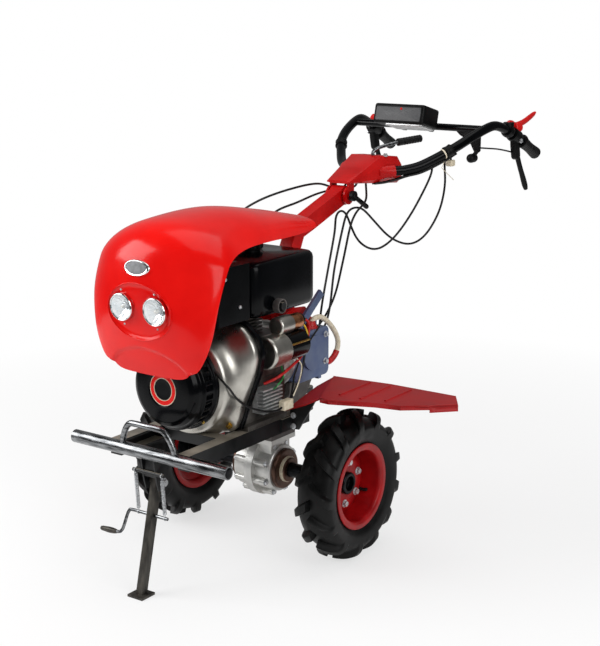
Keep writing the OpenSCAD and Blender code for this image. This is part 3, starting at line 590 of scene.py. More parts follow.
RED = bonnet_enamel()
HANDLE_RED = handle_enamel()
RIM_RED = rim_enamel()
GUARD_RED = guard_enamel()
LEVER_RED = lever_plastic()
BLACK = black_enamel()
CHARCOAL = frame_enamel()
PLASTIC = moulded_plastic()
RUBBER = tyre_rubber()
GRIP = grip_rubber()
SHEATH = cable_pvc()
ALLOY = cast_alloy()
SHADED_ALLOY = shaded_alloy()
BRUSHED = rolled_alloy()
BLUE_ALLOY = blue_alloy()
IRON = cast_iron()
WORN = worn_steel()
BROWN = brown_iron()
STEEL = drawn_steel()
ZINC = zinc()
GOLD = yellow_zinc()
AXLE = axle_steel()
CHROME = chrome()
COPPER = copper()
FINS = finned_alloy()
EXHAUST = exhaust_steel()
LENS = lens_plastic()
QUARTZ = lamp_quartz()
CREAM = wire_pvc("cream silicone", "hose", "#CFC2A6", "#E2D8C2")
BOOT_RED = wire_pvc("red rubber sleeve", "hose", "#A80F12", "#C41B1C")
PLATE_GREY = wire_pvc("lacquered plate grey", "lamp_chrome", "#6E7073", "#86888B")
CASE_GREY = wire_pvc("moulded panel grey", "black_plastic", "#3A3B3D", "#4A4B4D")
WIRE_GREEN = wire_pvc("green pvc wire", "grip_rubber", "#1F6B34", "#2F8A48")
WIRE_YELLOW = wire_pvc("yellow pvc wire", "grip_rubber", "#C79A12", "#E0B82E")
WIRE_RED = wire_pvc("red pvc wire", "grip_rubber", "#A31212", "#C62020")


# Camera and cables

HEADING = math.radians(35.316)


def photo_camera():
    """Camera at the photograph's eye point, heading and focal length."""
    pitch, focal_px, frame_px = math.radians(13.204), 1353.7, 646
    eye = (2703.6, 2027.7, 1376.7)
    cam = bpy.data.objects.new("camera", bpy.data.cameras.new("camera"))
    cam.data.sensor_width = 36.0
    cam.data.lens = cam.data.sensor_width * focal_px / frame_px
    cam.location = place(eye)
    cam.rotation_euler = (math.pi / 2 - pitch, 0.0, math.pi / 2 + HEADING)
    bpy.context.scene.collection.objects.link(cam)
    bpy.context.scene.camera = cam


CABLE_R = 3.0
CABLES_LEFT = {
    "clutch_cable": [(-580, 152, 940.4), (-580, 152, 926), (-550, 146, 880), (-496, 132, 810),
                     (-440, 112, 752), (-388, 90, 728), (-344, 66, 752), (-326, 48, 800),
                     (-319, 40, 830), (-301, 33, 844), (-282, 29, 828), (-278, 30, 790),
                     (-240, 34, 690), (-208, 35, 590), (-194, 34, 500), (-194, 34, 486),
                     (-194, 34, 472.6)],
    "switch_cable": [(-612, 173, 956.8), (-612, 173, 940), (-622, 170, 884), (-610, 160, 812),
                     (-570, 140, 748), (-520, 118, 727), (-460, 92, 752), (-410, 66, 806),
                     (-376, 55, 838), (-336, 52, 846), (-306, 50, 836), (-286, 48, 790),
                     (-246, 50, 690), (-222, 54, 600), (-206, 52, 552), (-186, 50, 533),
                     (-165.6, 50, 530)],
    "shift_cable": [(-420, 36, 901), (-420, 36, 896), (-418, 38, 890), (-380, 62, 860),
                    (-330, 64, 836), (-304, 62, 800), (-276, 58, 710), (-250, 46, 610),
                    (-234, 6, 530), (-204, -30, 494), (-194, -34, 484), (-194, -34, 472.6)],
}
CABLES_TOP = {
    "throttle_cable": [(-440, -40, 899), (-438, -40, 886), (-400, -52, 884), (-320, -56, 905),
                       (-197, -62, 902), (-110, -96, 880), (-50, -124, 846), (0, -132, 796),
                       (40, -116, 748), (58, -104, 714), (60, -95, 706), (60, -85.6, 706)],
    "lamp_cable": [(-430, 0, 899), (-428, 0, 888), (-390, -40, 884), (-300, -44, 880),
                   (-200, -40, 868), (-136, -60, 852), (-96, -70, 820), (-72, -66, 770),
                   (-64, -48, 730), (-55, -40, 720), (-45.6, -40, 720)],
}


def cable(name, points, node):
    """Control cable held at both ends, smoothed and evened, one fixed piece baked into the frame on no body.
    """
    path = relaxed(smooth(points, 14))
    obj = piece(name, None, SHEATH, [carried(path, CABLE_R, 12)], crease=60)
    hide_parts(node)
    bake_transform(obj)


photo_camera()
for cable_name, route in CABLES_LEFT.items():
    cable(cable_name, route, "cables_left")
for cable_name, route in CABLES_TOP.items():
    cable(cable_name, route, "cables_top")


# Bonnet and lamps

# Bonnet sections from the chin to the tail: crown x and z, edge x, half width, edge z, fullness.
HOOD = [(440, 543, 440, 118, 549, 1.95), (457, 590, 436, 152, 588, 1.93), (473, 648, 428, 175, 647, 1.88),
        (484, 707, 412, 186, 734, 1.84), (480, 788, 383, 187, 799, 1.81), (462, 847, 360, 181, 817, 1.9),
        (420, 884, 317, 169, 829, 2), (350, 902, 248, 152, 833, 2.05), (200, 908, 150, 133, 830, 2.2),
        (50, 886, 40, 112, 824, 2.25), (-60, 864, -60, 94, 822, 2.25), (-110, 853, -110, 85, 829, 2.25)]
HOOD_WALL = 4.0
PANEL_Z, PANEL_HALF = 707.0, (92.0, 65.0)
PANEL_X, PANEL_LEAN = 472.0, 0.12
LAMP_Y, LAMP_R, PANEL_DROP = 50.0, 33.5, 6.0
PANEL_DEPTH, LAMP_WELL = 4.5, 24.0
NOSE_X, CHIN_LIFT, CHIN_STEP = 400.0, 16.0, 4.5
BEAD_R, BEAD_PROUD = 1.7, 0.6


def hood_surface(rows, spots):
    """Crown C and edge E of each section, joined by C + (E - C) g at y = h w, h = sin a.

    g = 1 - (1 - |h|^f)^(1/f), with the section's half width w and fullness f. The lamp panel is a flat oval
    let into the front with a well behind each lamp; below it the chin steps back along a bowed line.
    """
    sec = smooth(HOOD, rows)
    u = np.linspace(0, len(HOOD) - 1, len(sec))[:, None]
    h = np.sin(np.linspace(-np.pi / 2, np.pi / 2, spots))[None, :]
    full = sec[:, 5:6]
    g = 1 - (1 - np.abs(h) ** full) ** (1 / full)
    x = sec[:, 0:1] + (sec[:, 2:3] - sec[:, 0:1]) * g
    z = sec[:, 1:2] + (sec[:, 4:5] - sec[:, 1:2]) * g
    y = h * sec[:, 3:4]
    z = z + CHIN_LIFT * np.abs(h) ** 8 * ease(0.7 - u, 0, 0.7)
    chin = 1.5 - 1.3 * np.abs(h) ** 2
    x = x - CHIN_STEP * ease(chin - u, 0.0, 0.2)
    front = x > NOSE_X
    rho = np.hypot(y / PANEL_HALF[0], (z - PANEL_Z + PANEL_DROP) / PANEL_HALF[1])
    flat = np.minimum(PANEL_X + PANEL_LEAN * (z - PANEL_Z), x - PANEL_DEPTH)
    x = x + (flat - x) * ease(1.02 - rho, 0.0, 0.1) * front
    from_lamp = np.hypot(np.abs(y) - LAMP_Y, z - PANEL_Z)
    x = x - LAMP_WELL * ease(LAMP_R - 1.5 - from_lamp, 0, 4) * front
    return np.stack([x, y, z], -1)


def normals(grid):
    """Unit normals of a grid surface from the cross product of its two directions."""
    return unit(np.cross(np.gradient(grid, axis=0), np.gradient(grid, axis=1)))


def panel_bead(outer):
    """Bead round the lamp panel: a small circle carried round an oval just outside the panel's edge.

    Each point lies BEAD_PROUD in front of the mean x of the eight nearest points of the skin.
    """
    nose = outer[outer[:, :, 0] > NOSE_X]
    oval = np.radians(np.arange(0, 361, 4))
    rim = np.stack([0 * oval, 1.03 * PANEL_HALF[0] * np.cos(oval),
                    PANEL_Z - PANEL_DROP + 1.03 * PANEL_HALF[1] * np.sin(oval)], -1)
    gap = np.linalg.norm(rim[:, None, 1:] - nose[None, :, 1:], axis=-1)
    near = np.argsort(gap, axis=1)[:, :8]
    skin_x = np.take_along_axis(np.broadcast_to(nose[:, 0], gap.shape), near, 1).mean(1)
    rim[:, 0] = skin_x + BEAD_PROUD
    ring = np.linspace(0, 2 * np.pi, 10, endpoint=False)[None, :, None]
    out = unit((rim - rim[:-1].mean(0)) * (0, 1, 1))
    around = np.cos(ring) * np.array([1.0, 0, 0]) + np.sin(ring) * out[:-1, None]
    return skin(rim[:-1, None] + BEAD_R * around, loop=True)


def bonnet():
    """Outer skin with an inner skin one wall thickness behind it, the lamp panel's bead, and its screws."""
    outer = hood_surface(20, 181)
    into = normals(outer)
    middle = np.array([150.0, 0, 600])
    into *= np.sign(np.sum(into * (middle - outer), -1).mean())
    sheet = walled(outer, outer + HOOD_WALL * into)
    piece("bonnet.skin", "chassis", RED, [sheet], ("bonnet", "lamp_panel"), 50)
    piece("bonnet.panel_rim", "chassis", RED, [panel_bead(outer)])
    heads = [screw((PANEL_X - 0.5 + PANEL_LEAN * dz, side * LAMP_Y, PANEL_Z + dz), (1, 0, -PANEL_LEAN), 5)
             for side in (1, -1) for dz in (40, -42)]
    piece("bonnet.panel_screws", "chassis", ZINC, heads)


def lamps():
    """Each lamp: rolled bezel, fluted reflector bowl, bulb in its holder, and lens.

    The bowl's radius falls with the square root of 1 - 0.94 depth, and the lens is a paraboloid.
    """
    tilt = (1, 0, -0.06)
    for side, node in ((1, "lamp_left"), (-1, "lamp_right")):
        centre = np.array([PANEL_X + 2.0, side * LAMP_Y, PANEL_Z])
        roll = [(-3, LAMP_R), (5, LAMP_R), (8, LAMP_R - 2), (7, LAMP_R - 4.5), (-3, LAMP_R - 4.5)]
        piece(f"lamp_bezel.{node}", "chassis", CHROME, [hoop(roll, 1.2, centre, tilt, 72)], (node,))
        depth = np.linspace(0, 1, 22)
        bowl_r = (LAMP_R - 4.6) * np.sqrt(1 - 0.94 * depth)
        front = np.stack([4.5 - 17 * depth, bowl_r], -1)
        phi = np.linspace(0, 2 * np.pi, 144, endpoint=False)
        flutes = 1 - 0.05 * np.abs(np.sin(8 * phi))[None, :] * np.sin(np.pi * depth)[:, None]
        back = np.stack([2.5 - 17 * depth[::-1], bowl_r[::-1] + 1.6], -1)
        swell = np.vstack([flutes, np.ones((22, 144))])
        bowl = turned(np.vstack([front, back]), centre, tilt, 144, loop=True, swell=swell)
        piece(f"lamp_reflector.{node}", "chassis", CHROME, [bowl], crease=20)
        bulb = turned([(-11, 5.2), (-4, 5.2), (-1, 4.6), (1.2, 3.0), (2.0, 1.0)], centre, tilt, 28)
        cap = turned([(-12, 8), (-8.5, 8), (-7.5, 6.4), (-7.5, 5.0)], centre, tilt, 28)
        piece(f"lamp_bulb.{node}", "chassis", QUARTZ, [bulb])
        piece(f"lamp_holder.{node}", "chassis", ZINC, [cap])
        r = (LAMP_R - 4.8) * np.linspace(1, 0.03, 16)
        dome = 5.4 + 3.2 * (1 - (r / LAMP_R) ** 2)
        pane = np.vstack([np.stack([dome - 1.6, r], -1)[::-1], np.stack([dome, r], -1)])
        piece(f"lamp_lens.{node}", "chassis", LENS, [turned(pane, centre, tilt, 72)])


def brow(y, z):
    """x of the bonnet's brow, a paraboloid, at y from the middle plane and z from the badge's middle."""
    return 478.2 - 0.00215 * y ** 2 - 0.235 * z - 0.0022 * z ** 2


def badge():
    """Blank oval plate on the bonnet's brow: a raised rim and an inlay that follow the skin."""
    half_y, half_z, centre_z = 37.5, 18.0, 803.0
    rho = np.linspace(1.0, 0.04, 14)[:, None]
    phi = np.linspace(0, 2 * np.pi, 96, endpoint=False)[None, :]
    rim = 2.0 + 1.6 * ease(rho, 0.8, 0.86) - 2.4 * ease(rho, 0.95, 1.0)
    for name, material, share, low, high in (("badge_plate", CHROME, 1.0, -3.0, rim),
                                             ("badge_inlay", PLATE_GREY, 0.82, 0.5, 2.5)):
        y, z = half_y * (rho * share) * np.cos(phi), half_z * (rho * share) * np.sin(phi)
        rear, face = (np.stack([brow(y, z) + level, y, centre_z + z], -1) for level in (low, high))
        piece(name, "chassis", material, [skin(np.concatenate([rear[::-1], face]))], crease=60)


bonnet()
lamps()
badge()


# Wheels

LUGS = 13
# Half section of the tyre from bead to crown: radius and distance from the mid-plane, bare and on a lug.
TYRE_BARE = [(99, 36), (105, 36.5), (112, 37.5), (126, 46), (144, 49.5), (154, 48), (163, 41), (169, 28),
             (171.5, 13), (172, 0)]
TYRE_LUG = [(99, 36), (105, 36.5), (112, 37.5), (126, 46), (146, 50), (165, 50), (178.5, 42), (186.5, 27),
            (189.4, 12), (WHEEL_R, 0)]
TYRE_INSIDE = [(99, -36), (97, -33), (112, -30), (130, -38), (150, -37), (160, 0), (150, 37), (130, 38),
               (112, 30), (97, 33), (99, 36)]
# Lugs: sweep along the tread, half width in degrees at top and foot, grid lines beside the middle, end.
LUG_SWEEP, LUG_HALF_DEG = 42.0, (3.2, 4.9)
LUG_FLANK, LUG_END = [1.6, 3.2, 3.7, 4.1, 4.5, 4.9, 5.8], 66.0


def tyre(side, name, body, node):
    """Tread: P = bare + (lug - bare) f on a grid sheared along the lugs.

    f eases from 1 on a lug's top to 0 beside it and at its outer end. Lugs of the two halves are staggered
    by half a pitch and meet the middle of the tread.
    """
    half = smooth(np.stack([np.array(TYRE_BARE), np.array(TYRE_LUG)], 1).reshape(-1, 4), 5)
    bare, lug = half[:, :2], half[:, 2:]
    span = arc_length(bare)
    from_crown = span[-1] - span
    pitch = 360 / LUGS
    offset = np.array([-d for d in LUG_FLANK[::-1]] + [0] + LUG_FLANK + [pitch / 4])
    theta = (np.arange(2 * LUGS)[:, None] * 180 / LUGS + offset[None, :]).ravel()
    along = ease(from_crown, -1, 0.01) * ease(LUG_END - from_crown, 0, 7)
    halves = []
    for sign, to_lug in ((1, (theta + pitch / 2) % pitch - pitch / 2), (-1, theta % pitch - pitch / 2)):
        across = ease(-np.abs(to_lug), -LUG_HALF_DEG[1], -LUG_HALF_DEG[0])
        f = (across[None, :] * along[:, None])[:, :, None]
        halves.append((bare[:, None, :] + (lug - bare)[:, None, :] * f) * (1, sign))
    inside = fillet(TYRE_INSIDE, 9)[1:-1]
    inner = np.broadcast_to(inside[:, None, :], (len(inside), len(theta), 2))
    ring = np.concatenate([halves[0], halves[1][::-1][1:], inner])
    swept = LUG_SWEEP * np.clip((from_crown + 5) / 58, 0, 1.1) - LUG_SWEEP / 2
    shear = np.degrees(swept / WHEEL_R)
    lean = np.concatenate([shear, shear[::-1][1:], np.full(len(inside), shear[0])])
    angle = np.radians(theta[None, :] + lean[:, None] - 90 * side)
    r, y = ring[:, :, 0], ring[:, :, 1]
    grid = np.stack([r * np.cos(angle), side * (HALF_TRACK + y), AXLE_Z - side * r * np.sin(angle)], -1)
    piece(name, body, RUBBER, [skin(grid, loop=True)], (node,), 50)


def wheel_rim(side, name, body, node):
    """Rim band with rolled lips and dished disc, each a closed section turned about the axle."""
    centre, axis = (0, side * HALF_TRACK, AXLE_Z), (0, side, 0)
    half = [(34, 94), (37, 99), (36, 107), (38, 110.5), (41.5, 110), (41.5, 99), (38, 92), (31, 89.5)]
    band = half + [(-s, r) for s, r in half[::-1]]
    dish = [(-8, 23), (-8, 40), (-6.5, 46), (-6.5, 62), (-9, 70), (-14, 77), (-19, 86), (-22, 91),
            (-25, 91), (-23, 85), (-18, 75), (-12, 66), (-12, 23)]
    shells = [hoop(band, 2.5, centre, axis, 128), hoop(dish, 3, centre, axis, 128)]
    piece(name, body, RIM_RED, shells, (node,), 50)


def wheel_hub(side, name, body, node):
    """Axle shaft, hub sleeve, flange and open hub end turned about the axle; wheel bolts and tyre valve."""
    bolt_circle, disc_face, valve_r, valve_foot = 53, -6.5, 80, -14
    centre, axis = np.array([0, side * HALF_TRACK, AXLE_Z]), (0, side, 0)
    sleeve = [(-178, 19), (-120, 19), (-118, 24), (-109, 24), (-107, 30), (-92, 30), (-90, 28), (-24, 28),
              (-22, 68), (-20, 70), (-13, 70), (-12, 68), (-12, 28.5), (1, 28.5), (4, 26), (4, 18.5),
              (-10, 17.5), (-10, 4)]
    piece(name, body, AXLE, [lathed(sleeve, 1.5, centre, axis, 72)], (node,), 40)
    u, v, d = basis(axis)
    heads = [centre + d * disc_face + bolt_circle * (math.cos(t) * u + math.sin(t) * v)
             for t in np.radians(np.arange(6) * 60 + 20)]
    piece(name + ".bolts", body, ZINC, [bolt(p, axis, 13, 8) for p in heads])
    a = math.radians(208)
    way = math.cos(a) * np.array([1, 0, 0]) + math.sin(a) * np.array([0, 0, 1])
    foot = centre + valve_r * way + d * valve_foot
    stem = [foot, foot + d * 10, foot + d * 24 + (0, 0, 2)]
    piece(name + ".valve", body, GRIP, [tube(stem, [6, 5.5, 4.5, 4, 4, 4.6, 4.6, 3.5], 16)])


for side, hand in ((1, "left"), (-1, "right")):
    tyre(side, f"tyre.{hand}", f"wheel_{hand}", f"tyre_{hand}")
    wheel_rim(side, f"rim.{hand}", f"wheel_{hand}", f"rim_{hand}")
    wheel_hub(side, f"hub.{hand}", f"wheel_{hand}", f"axle_{hand}")


# Drive and frame

def drive():
    """Case halves, covers and gear cases keep their cast form with broken edges.

    Bolt heads go on their bosses, and a cream seal with a black lip is turned round each axle.
    """
    softened("axle_drum", ALLOY, 1.6)
    softened("axle_covers", BROWN, 1.2)
    softened("gearbox_leg", IRON, 2.0)
    softened("gearbox_upper", BLUE_ALLOY, 1.5)
    softened("shift_arms", BLUE_ALLOY, 0.8)
    softened("clutch_housing", ALLOY, 1.5)
    drum_face, drum_circle, case_face = 46, 66, 88
    heads = [bolt((drum_circle * math.cos(a), s * drum_face, AXLE_Z + drum_circle * math.sin(a)),
                  (0, s, 0), 10, 6) for a in np.radians(22.5 + 45 * np.arange(8)) for s in (1, -1)]
    piece("drum_bolts", "chassis", ZINC, heads)
    spots = ((-148, 466), (-150, 538), (-34, 538))
    heads = [bolt((x, case_face, z), (0, 1, 0), 11, 8) for x, z in spots]
    piece("gearbox_upper.bolts", "chassis", ZINC, heads)
    seal = [(69.5, 33.5), (79, 33.5), (80, 32), (80, 28), (69.5, 28)]
    lip = [(69.5, 28.5), (79, 28.5), (77, 24), (84, 23), (84, 20.5), (69.5, 20.5)]
    for name, material, ring in (("axle_seals", CREAM, seal), ("axle_seal_lips", PLASTIC, lip)):
        rings = [hoop(ring, 1.0, (0, 0, AXLE_Z), (0, s, 0), 64) for s in (1, -1)]
        piece(name, "chassis", material, rings)


def chassis_frame():
    """Rails, cross members, brackets and guards as folded plate with broken edges."""
    for node in ("rail_left", "rail_right", "cross_members", "stand_bracket", "hitch", "gussets"):
        softened(node, CHARCOAL, 0.9)
    for node in ("guard_left", "guard_right"):
        softened(node, GUARD_RED, 0.7)
    heads = [bolt((55.5, s * 131, z), (1, 0, 0), 10, 5) for s in (1, -1) for z in (374, 346)]
    heads += [bolt((x, s * 112, 373), (0, 0, 1), 9, 5) for s in (1, -1) for x in (84, 196)]
    piece("frame_bolts", "chassis", ZINC, heads)


BUMPER_X, BUMPER_Z, BUMPER_HALF = 452.0, 357.0, 237.5


def bumper():
    """Plugged steel tube across the front and the bent rod that stands on it."""
    centre = (BUMPER_X, 0, BUMPER_Z)
    wall = [(-BUMPER_HALF, 12.5), (-BUMPER_HALF, 16), (BUMPER_HALF, 16), (BUMPER_HALF, 12.5)]
    piece("bumper.tube", "chassis", STEEL, [hoop(wall, 1.0, centre, (0, 1, 0), 48)], ("bumper_bar",))
    plug = [(BUMPER_HALF - 12, 12), (BUMPER_HALF - 1, 12.6), (BUMPER_HALF + 1, 10), (BUMPER_HALF + 1.6, 4)]
    plugs = [lathed(plug, 2, centre, (0, s, 0), 40) for s in (1, -1)]
    piece("bumper.plugs", "chassis", AXLE, plugs)
    half = [(452, 82, 361), (454, 78, 381), (457, 67, 406), (459, 52, 423), (460, 32, 426)]
    bow = half + [(460, 0, 426)] + [(x, -y, z) for x, y, z in half[::-1]]
    piece("bumper.hoop", "chassis", STEEL, [tube(bow, 7.5, 20)], ("bumper_hoop",))


drive()
chassis_frame()
bumper()


# Stand

STAND_PIVOT = np.array([428.0, 0, 283])
STAND_LEAN = 13.5
CRANK_DROP = 82.0
SPRING_Y, SPRING_TURNS = 41, 24
COIL_R, SPRING_WIRE_R, HOOK_R = 3.8, 1.1, 5.5


def stand():
    """Square leg in its upper sleeve, and the bent crank with its hand knob on a pin across the leg."""
    softened("stand_leg", WORN, 1.2)
    down = np.array([math.sin(math.radians(STAND_LEAN)), 0, -math.cos(math.radians(STAND_LEAN))])
    fore = np.array([-down[2], 0, down[0]])
    pin = STAND_PIVOT + CRANK_DROP * down
    bend = [(0, 49, 0), (0, 0, 0), (0, -61, 0), (0, -71, -4), (1, -75, -16), (3, -79, -42), (4, -83, -54),
            (6, -94, -60), (6, -146, -62)]
    path = [pin + x * fore + (0, y, 0) - z * down for x, y, z in bend]
    piece("stand_crank.rod", "stand", STEEL, [tube(path, 4, 16)], ("stand_crank",))
    a, b = pin + 6 * fore + (0, -96, 0) + 60.4 * down, pin + 6 * fore + (0, -146, 0) + 62 * down
    knob = tube([a, a + (b - a) * 0.5, b], [4.6, 6, 7, 7.4, 7.2, 6.4, 6, 4.6], 20)
    piece("stand_crank.knob", "stand", WORN, [knob])


def stand_spring(name, side):
    """Drawn spring from anchor rod to crank: a helix about the line between them, hooked at both ends."""
    top, end = np.array([455.0, side * SPRING_Y, 311]), np.array([447.1, side * SPRING_Y, 203.3])
    t = np.linspace(0, 1, SPRING_TURNS * 14)[:, None]
    u, v, _ = basis(end - top)
    phi = 2 * np.pi * SPRING_TURNS * t
    coil = top + (end - top) * (0.09 + 0.82 * t) + COIL_R * (np.cos(phi) * u + np.sin(phi) * v)
    over, out, under = np.array([(0, 0, HOOK_R), (HOOK_R, 0, 0), (0, 0, -HOOK_R)])
    path = [smooth([top + over, top + out, top + under, top + (end - top) * 0.075, coil[0]], 6),
            coil[1:-1],
            smooth([coil[-1], end + (top - end) * 0.075, end + over, end + out, end + under], 6)]
    obj = piece(name, None, ZINC, [carried(np.concatenate(path), SPRING_WIRE_R, 8)], crease=60)
    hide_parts("stand_springs")
    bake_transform(obj)


def stand_bolts():
    """Bolt heads on both ends of the stand's pivot."""
    heads = [bolt(STAND_PIVOT + (0, s * 21.5, 0), (0, s, 0), 15, 8) for s in (1, -1)]
    piece("stand_pivot.bolt", "chassis", ZINC, heads)


stand()
stand_spring("stand_spring.left", 1)
stand_spring("stand_spring.right", -1)
stand_bolts()


# Engine

CASING_HALF = [(84, 374), (104, 384), (134, 462), (160, 527), (170, 577), (158, 610), (124, 641), (104, 646)]
FAN_Z, CASING_FRONT_R = 500.0, 128.0


def fan_casing():
    """Cast fan casing: polar outline r(phi) of the shroud at the back, eased into a circle at the front."""
    outline = np.array(CASING_HALF + [(-y, z) for y, z in CASING_HALF[::-1]], float)
    rounded = fillet(outline, 26, 8, closed=True) - (0, FAN_Z)
    phi_out = np.arctan2(rounded[:, 1], rounded[:, 0])
    order = np.argsort(phi_out)
    phi = np.linspace(-np.pi, np.pi, 180, endpoint=False)
    r_back = np.interp(phi, phi_out[order], np.hypot(*rounded.T)[order], period=2 * np.pi)
    station = np.array([242, 245, 258, 262, 266, 274, 286, 300, 312, 318, 322, 325.0])
    share = np.array([0, 0, 0, 0.06, 0.2, 0.55, 0.85, 0.97, 1, 1, 1, 1])[:, None]
    draw = np.array([1.5, 0, 0, 0, 0, 0, 0, 0, 0, 1.5, 4, 8])[:, None]
    r = r_back[None] * (1 - share) + CASING_FRONT_R * share - draw
    x = np.broadcast_to(station[:, None], r.shape)
    grid = np.stack([x, r * np.cos(phi), FAN_Z + r * np.sin(phi)], -1)
    piece("blower_housing.casing", "chassis", BRUSHED, [skin(grid)], ("blower_housing",), 45)
    piece("blower_housing.bolt", "chassis", GOLD, [bolt((272, 97, 397), (0.8, 0.5, -0.3), 11, 7)])


def recoil():
    """Recoil cover: turned dome, its side wall let in at 30 cooling slots; a red ring lies on the face."""
    profile = fillet([(0, 112), (10, 112), (12, 107), (16, 107), (18, 106.5), (40, 106.5), (44, 106),
                      (48, 99), (58, 97), (68, 90), (73, 80), (75, 42), (72, 40), (72, 12)], 2.0, 3)
    sides, slot_pitch, screw_circle, ring_radii = 360, 12, 109, (38.8, 27)
    phi = np.degrees(np.linspace(0, 2 * np.pi, sides, endpoint=False))
    slot = ease(np.abs(phi % slot_pitch - slot_pitch / 2), 2.2, 3.2)
    wall = (ease(profile[:, 0], 16, 18) * ease(41 - profile[:, 0], 0, 2))[:, None]
    swell = 1 - 0.07 * wall * (1 - slot)[None, :]
    centre, axis = (325, 0, FAN_Z), (1, 0, 0)
    cover = turned(profile, centre, axis, sides, swell=swell)
    piece("recoil_starter.cover", "chassis", BLACK, [cover], ("recoil_starter",), 35)
    wide, narrow = ring_radii
    band = [(71.5, wide), (72.7, wide), (72.7, narrow), (71.5, narrow)]
    piece("recoil_ring", "chassis", RED, [hoop(band, 0.3, centre, axis, 96)])
    edges = [turned([(71.5, r + 0.8), (72.9, r + 0.8), (72.9, r - 0.8), (71.5, r - 0.8)], centre, axis, 96,
                    loop=True) for r in ring_radii]
    piece("recoil_ring.edges", "chassis", CREAM, edges)
    heads = [screw((335, screw_circle * math.cos(a), FAN_Z + screw_circle * math.sin(a)), (1, 0, 0), 8)
             for a in np.radians([50, 130, 230, 310])]
    piece("recoil_screws", "chassis", GOLD, heads)


def fuel_tank():
    """Pressed tank with deep corner rounds, knurled cap, tap with its cup, plate, and the battery box."""
    low, high = (-45, -85, 648), (215, 135, 784)
    shell = pressed(box_outline(low, high), low[2], high[2], "z", 34, 18)
    piece("fuel_tank.shell", "chassis", BLACK, [shell], ("fuel_tank",), 50)
    ribs = 1 + 0.03 * np.sign(np.sin(np.linspace(0, 2 * np.pi, 144, endpoint=False) * 18))[None, :]
    cap = fillet([(780, 26), (790, 26), (791, 32), (808, 32), (812, 28), (812, 10)], 1.5, 3)
    grooved = np.where(((cap[:, 0] > 792) & (cap[:, 0] < 807))[:, None], ribs, 1.0)
    knurled = turned(cap, (70, 10, 0), (0, 0, 1), 144, swell=grooved)
    piece("tank_cap.knurled", "chassis", PLASTIC, [knurled], ("tank_cap",), 30)
    softened("tank_plate", BLACK, 0.8)
    softened("fuel_tap", CHARCOAL, 0.8)
    cup = [(-6, 13.5), (-6, 18), (12, 18), (12, 14.5), (9, 14.5), (8, 13.5)]
    piece("fuel_tap.cup", "chassis", IRON, [hoop(cup, 1.2, (140, 149, 674), (0, 1, 0), 40)])
    softened("battery_box", BLACK, 3.0)
    heads = [screw(p, (0, 1, 0), 9) for p in ((319.5, 128, 764), (265, 128, 690))]
    piece("battery_box.screws", "chassis", ZINC, heads)


def engine_block():
    """Block, head, fan shroud, air cleaner, silencer and regulator keep their form with broken edges."""
    # Crankcase and head take the alloy darkened as painted shade.
    softened("crankcase", SHADED_ALLOY, 2.0)
    softened("cylinder_head", SHADED_ALLOY, 1.5)
    softened("fan_shroud", BLACK, 1.5)
    softened("air_cleaner", PLASTIC, 2.0)
    softened("silencer", EXHAUST, 1.2)
    softened("regulator", FINS, 0.5)


def starter():
    """Starter motor: black can with gold through-bolts between castings.

    Above it lies the relay: a copper case in a cast sleeve, with a black cap and two studs.
    """
    y, z, relay_z, axis = 146.3, 566.0, 622.3, (1, 0, 0)
    motor, relay = (0, y, z), (0, y, relay_z)
    can = [(52, 30), (52, 36), (130, 36), (132, 36.6), (133, 30)]
    nose = [(44, 16), (44, 28), (47, 30), (53, 30), (53, 16)]
    drive_end = [(132, 36), (132, 41), (194, 41), (200, 37), (200, 20)]
    piece("starter_motor.can", "chassis", BLACK, [lathed(can, 1.5, motor, axis, 64)], ("starter_motor",))
    piece("starter_motor.castings", "chassis", BRUSHED,
          [lathed(nose, 2, motor, axis, 64), lathed(drive_end, 3, motor, axis, 64)])
    bowed = ((54, 34.5), (92, 37), (131, 36.8))
    rods = [tube([(x, y + r * math.cos(a), z + r * math.sin(a)) for x, r in bowed], 2.6, 10)
            for a in np.radians([20, 160])]
    piece("starter_motor.rods", "chassis", GOLD, rods)
    case = [(58, 14), (58, 20), (131, 20), (131.7, 14)]
    piece("solenoid.case", "chassis", COPPER, [lathed(case, 1.6, relay, axis, 48)], ("solenoid",))
    sleeve = [(98, 19), (98, 23), (146, 23), (150, 19), (150, 8)]
    piece("solenoid.sleeve", "chassis", BRUSHED, [lathed(sleeve, 2, relay, axis, 48)])
    cap = [(46, 8), (46, 15), (50, 17.5), (59, 17.5), (59, 10)]
    piece("solenoid.cap", "chassis", PLASTIC, [lathed(cap, 1.2, relay, axis, 40)])
    studs = [tube([(x, y + s * 8, relay_z) for x in (47, 41, 35)], 3, 12) for s in (1, -1)]
    piece("solenoid.studs", "chassis", COPPER, studs)


def breather():
    """Cream hose from the gear case's red boot round to its rear, with a red sleeve near the lower end."""
    route = [(-110, 70, 560.6), (-111, 70, 570), (-124, 70, 582), (-160, 70, 578), (-205, 70, 545),
             (-234, 70, 505), (-230, 70, 474), (-210, 66, 452), (-184, 60, 446), (-165.6, 60, 446)]
    path = smooth(route, 8)
    piece("breather_hose.tube", "chassis", CREAM, [carried(path, 7, 18)], ("breather_hose",), 60)
    piece("breather_hose.sleeve", "chassis", BOOT_RED, [carried(path[48:66], 8.2, 20)], crease=60)
    boot = [(559.6, 18), (563, 18), (566, 14), (570, 13), (574, 11), (578, 10.5), (578, 6)]
    piece("breather_boot", "chassis", BOOT_RED, [lathed(boot, 1.5, (-110, 70, 0), (0, 0, 1), 40)])


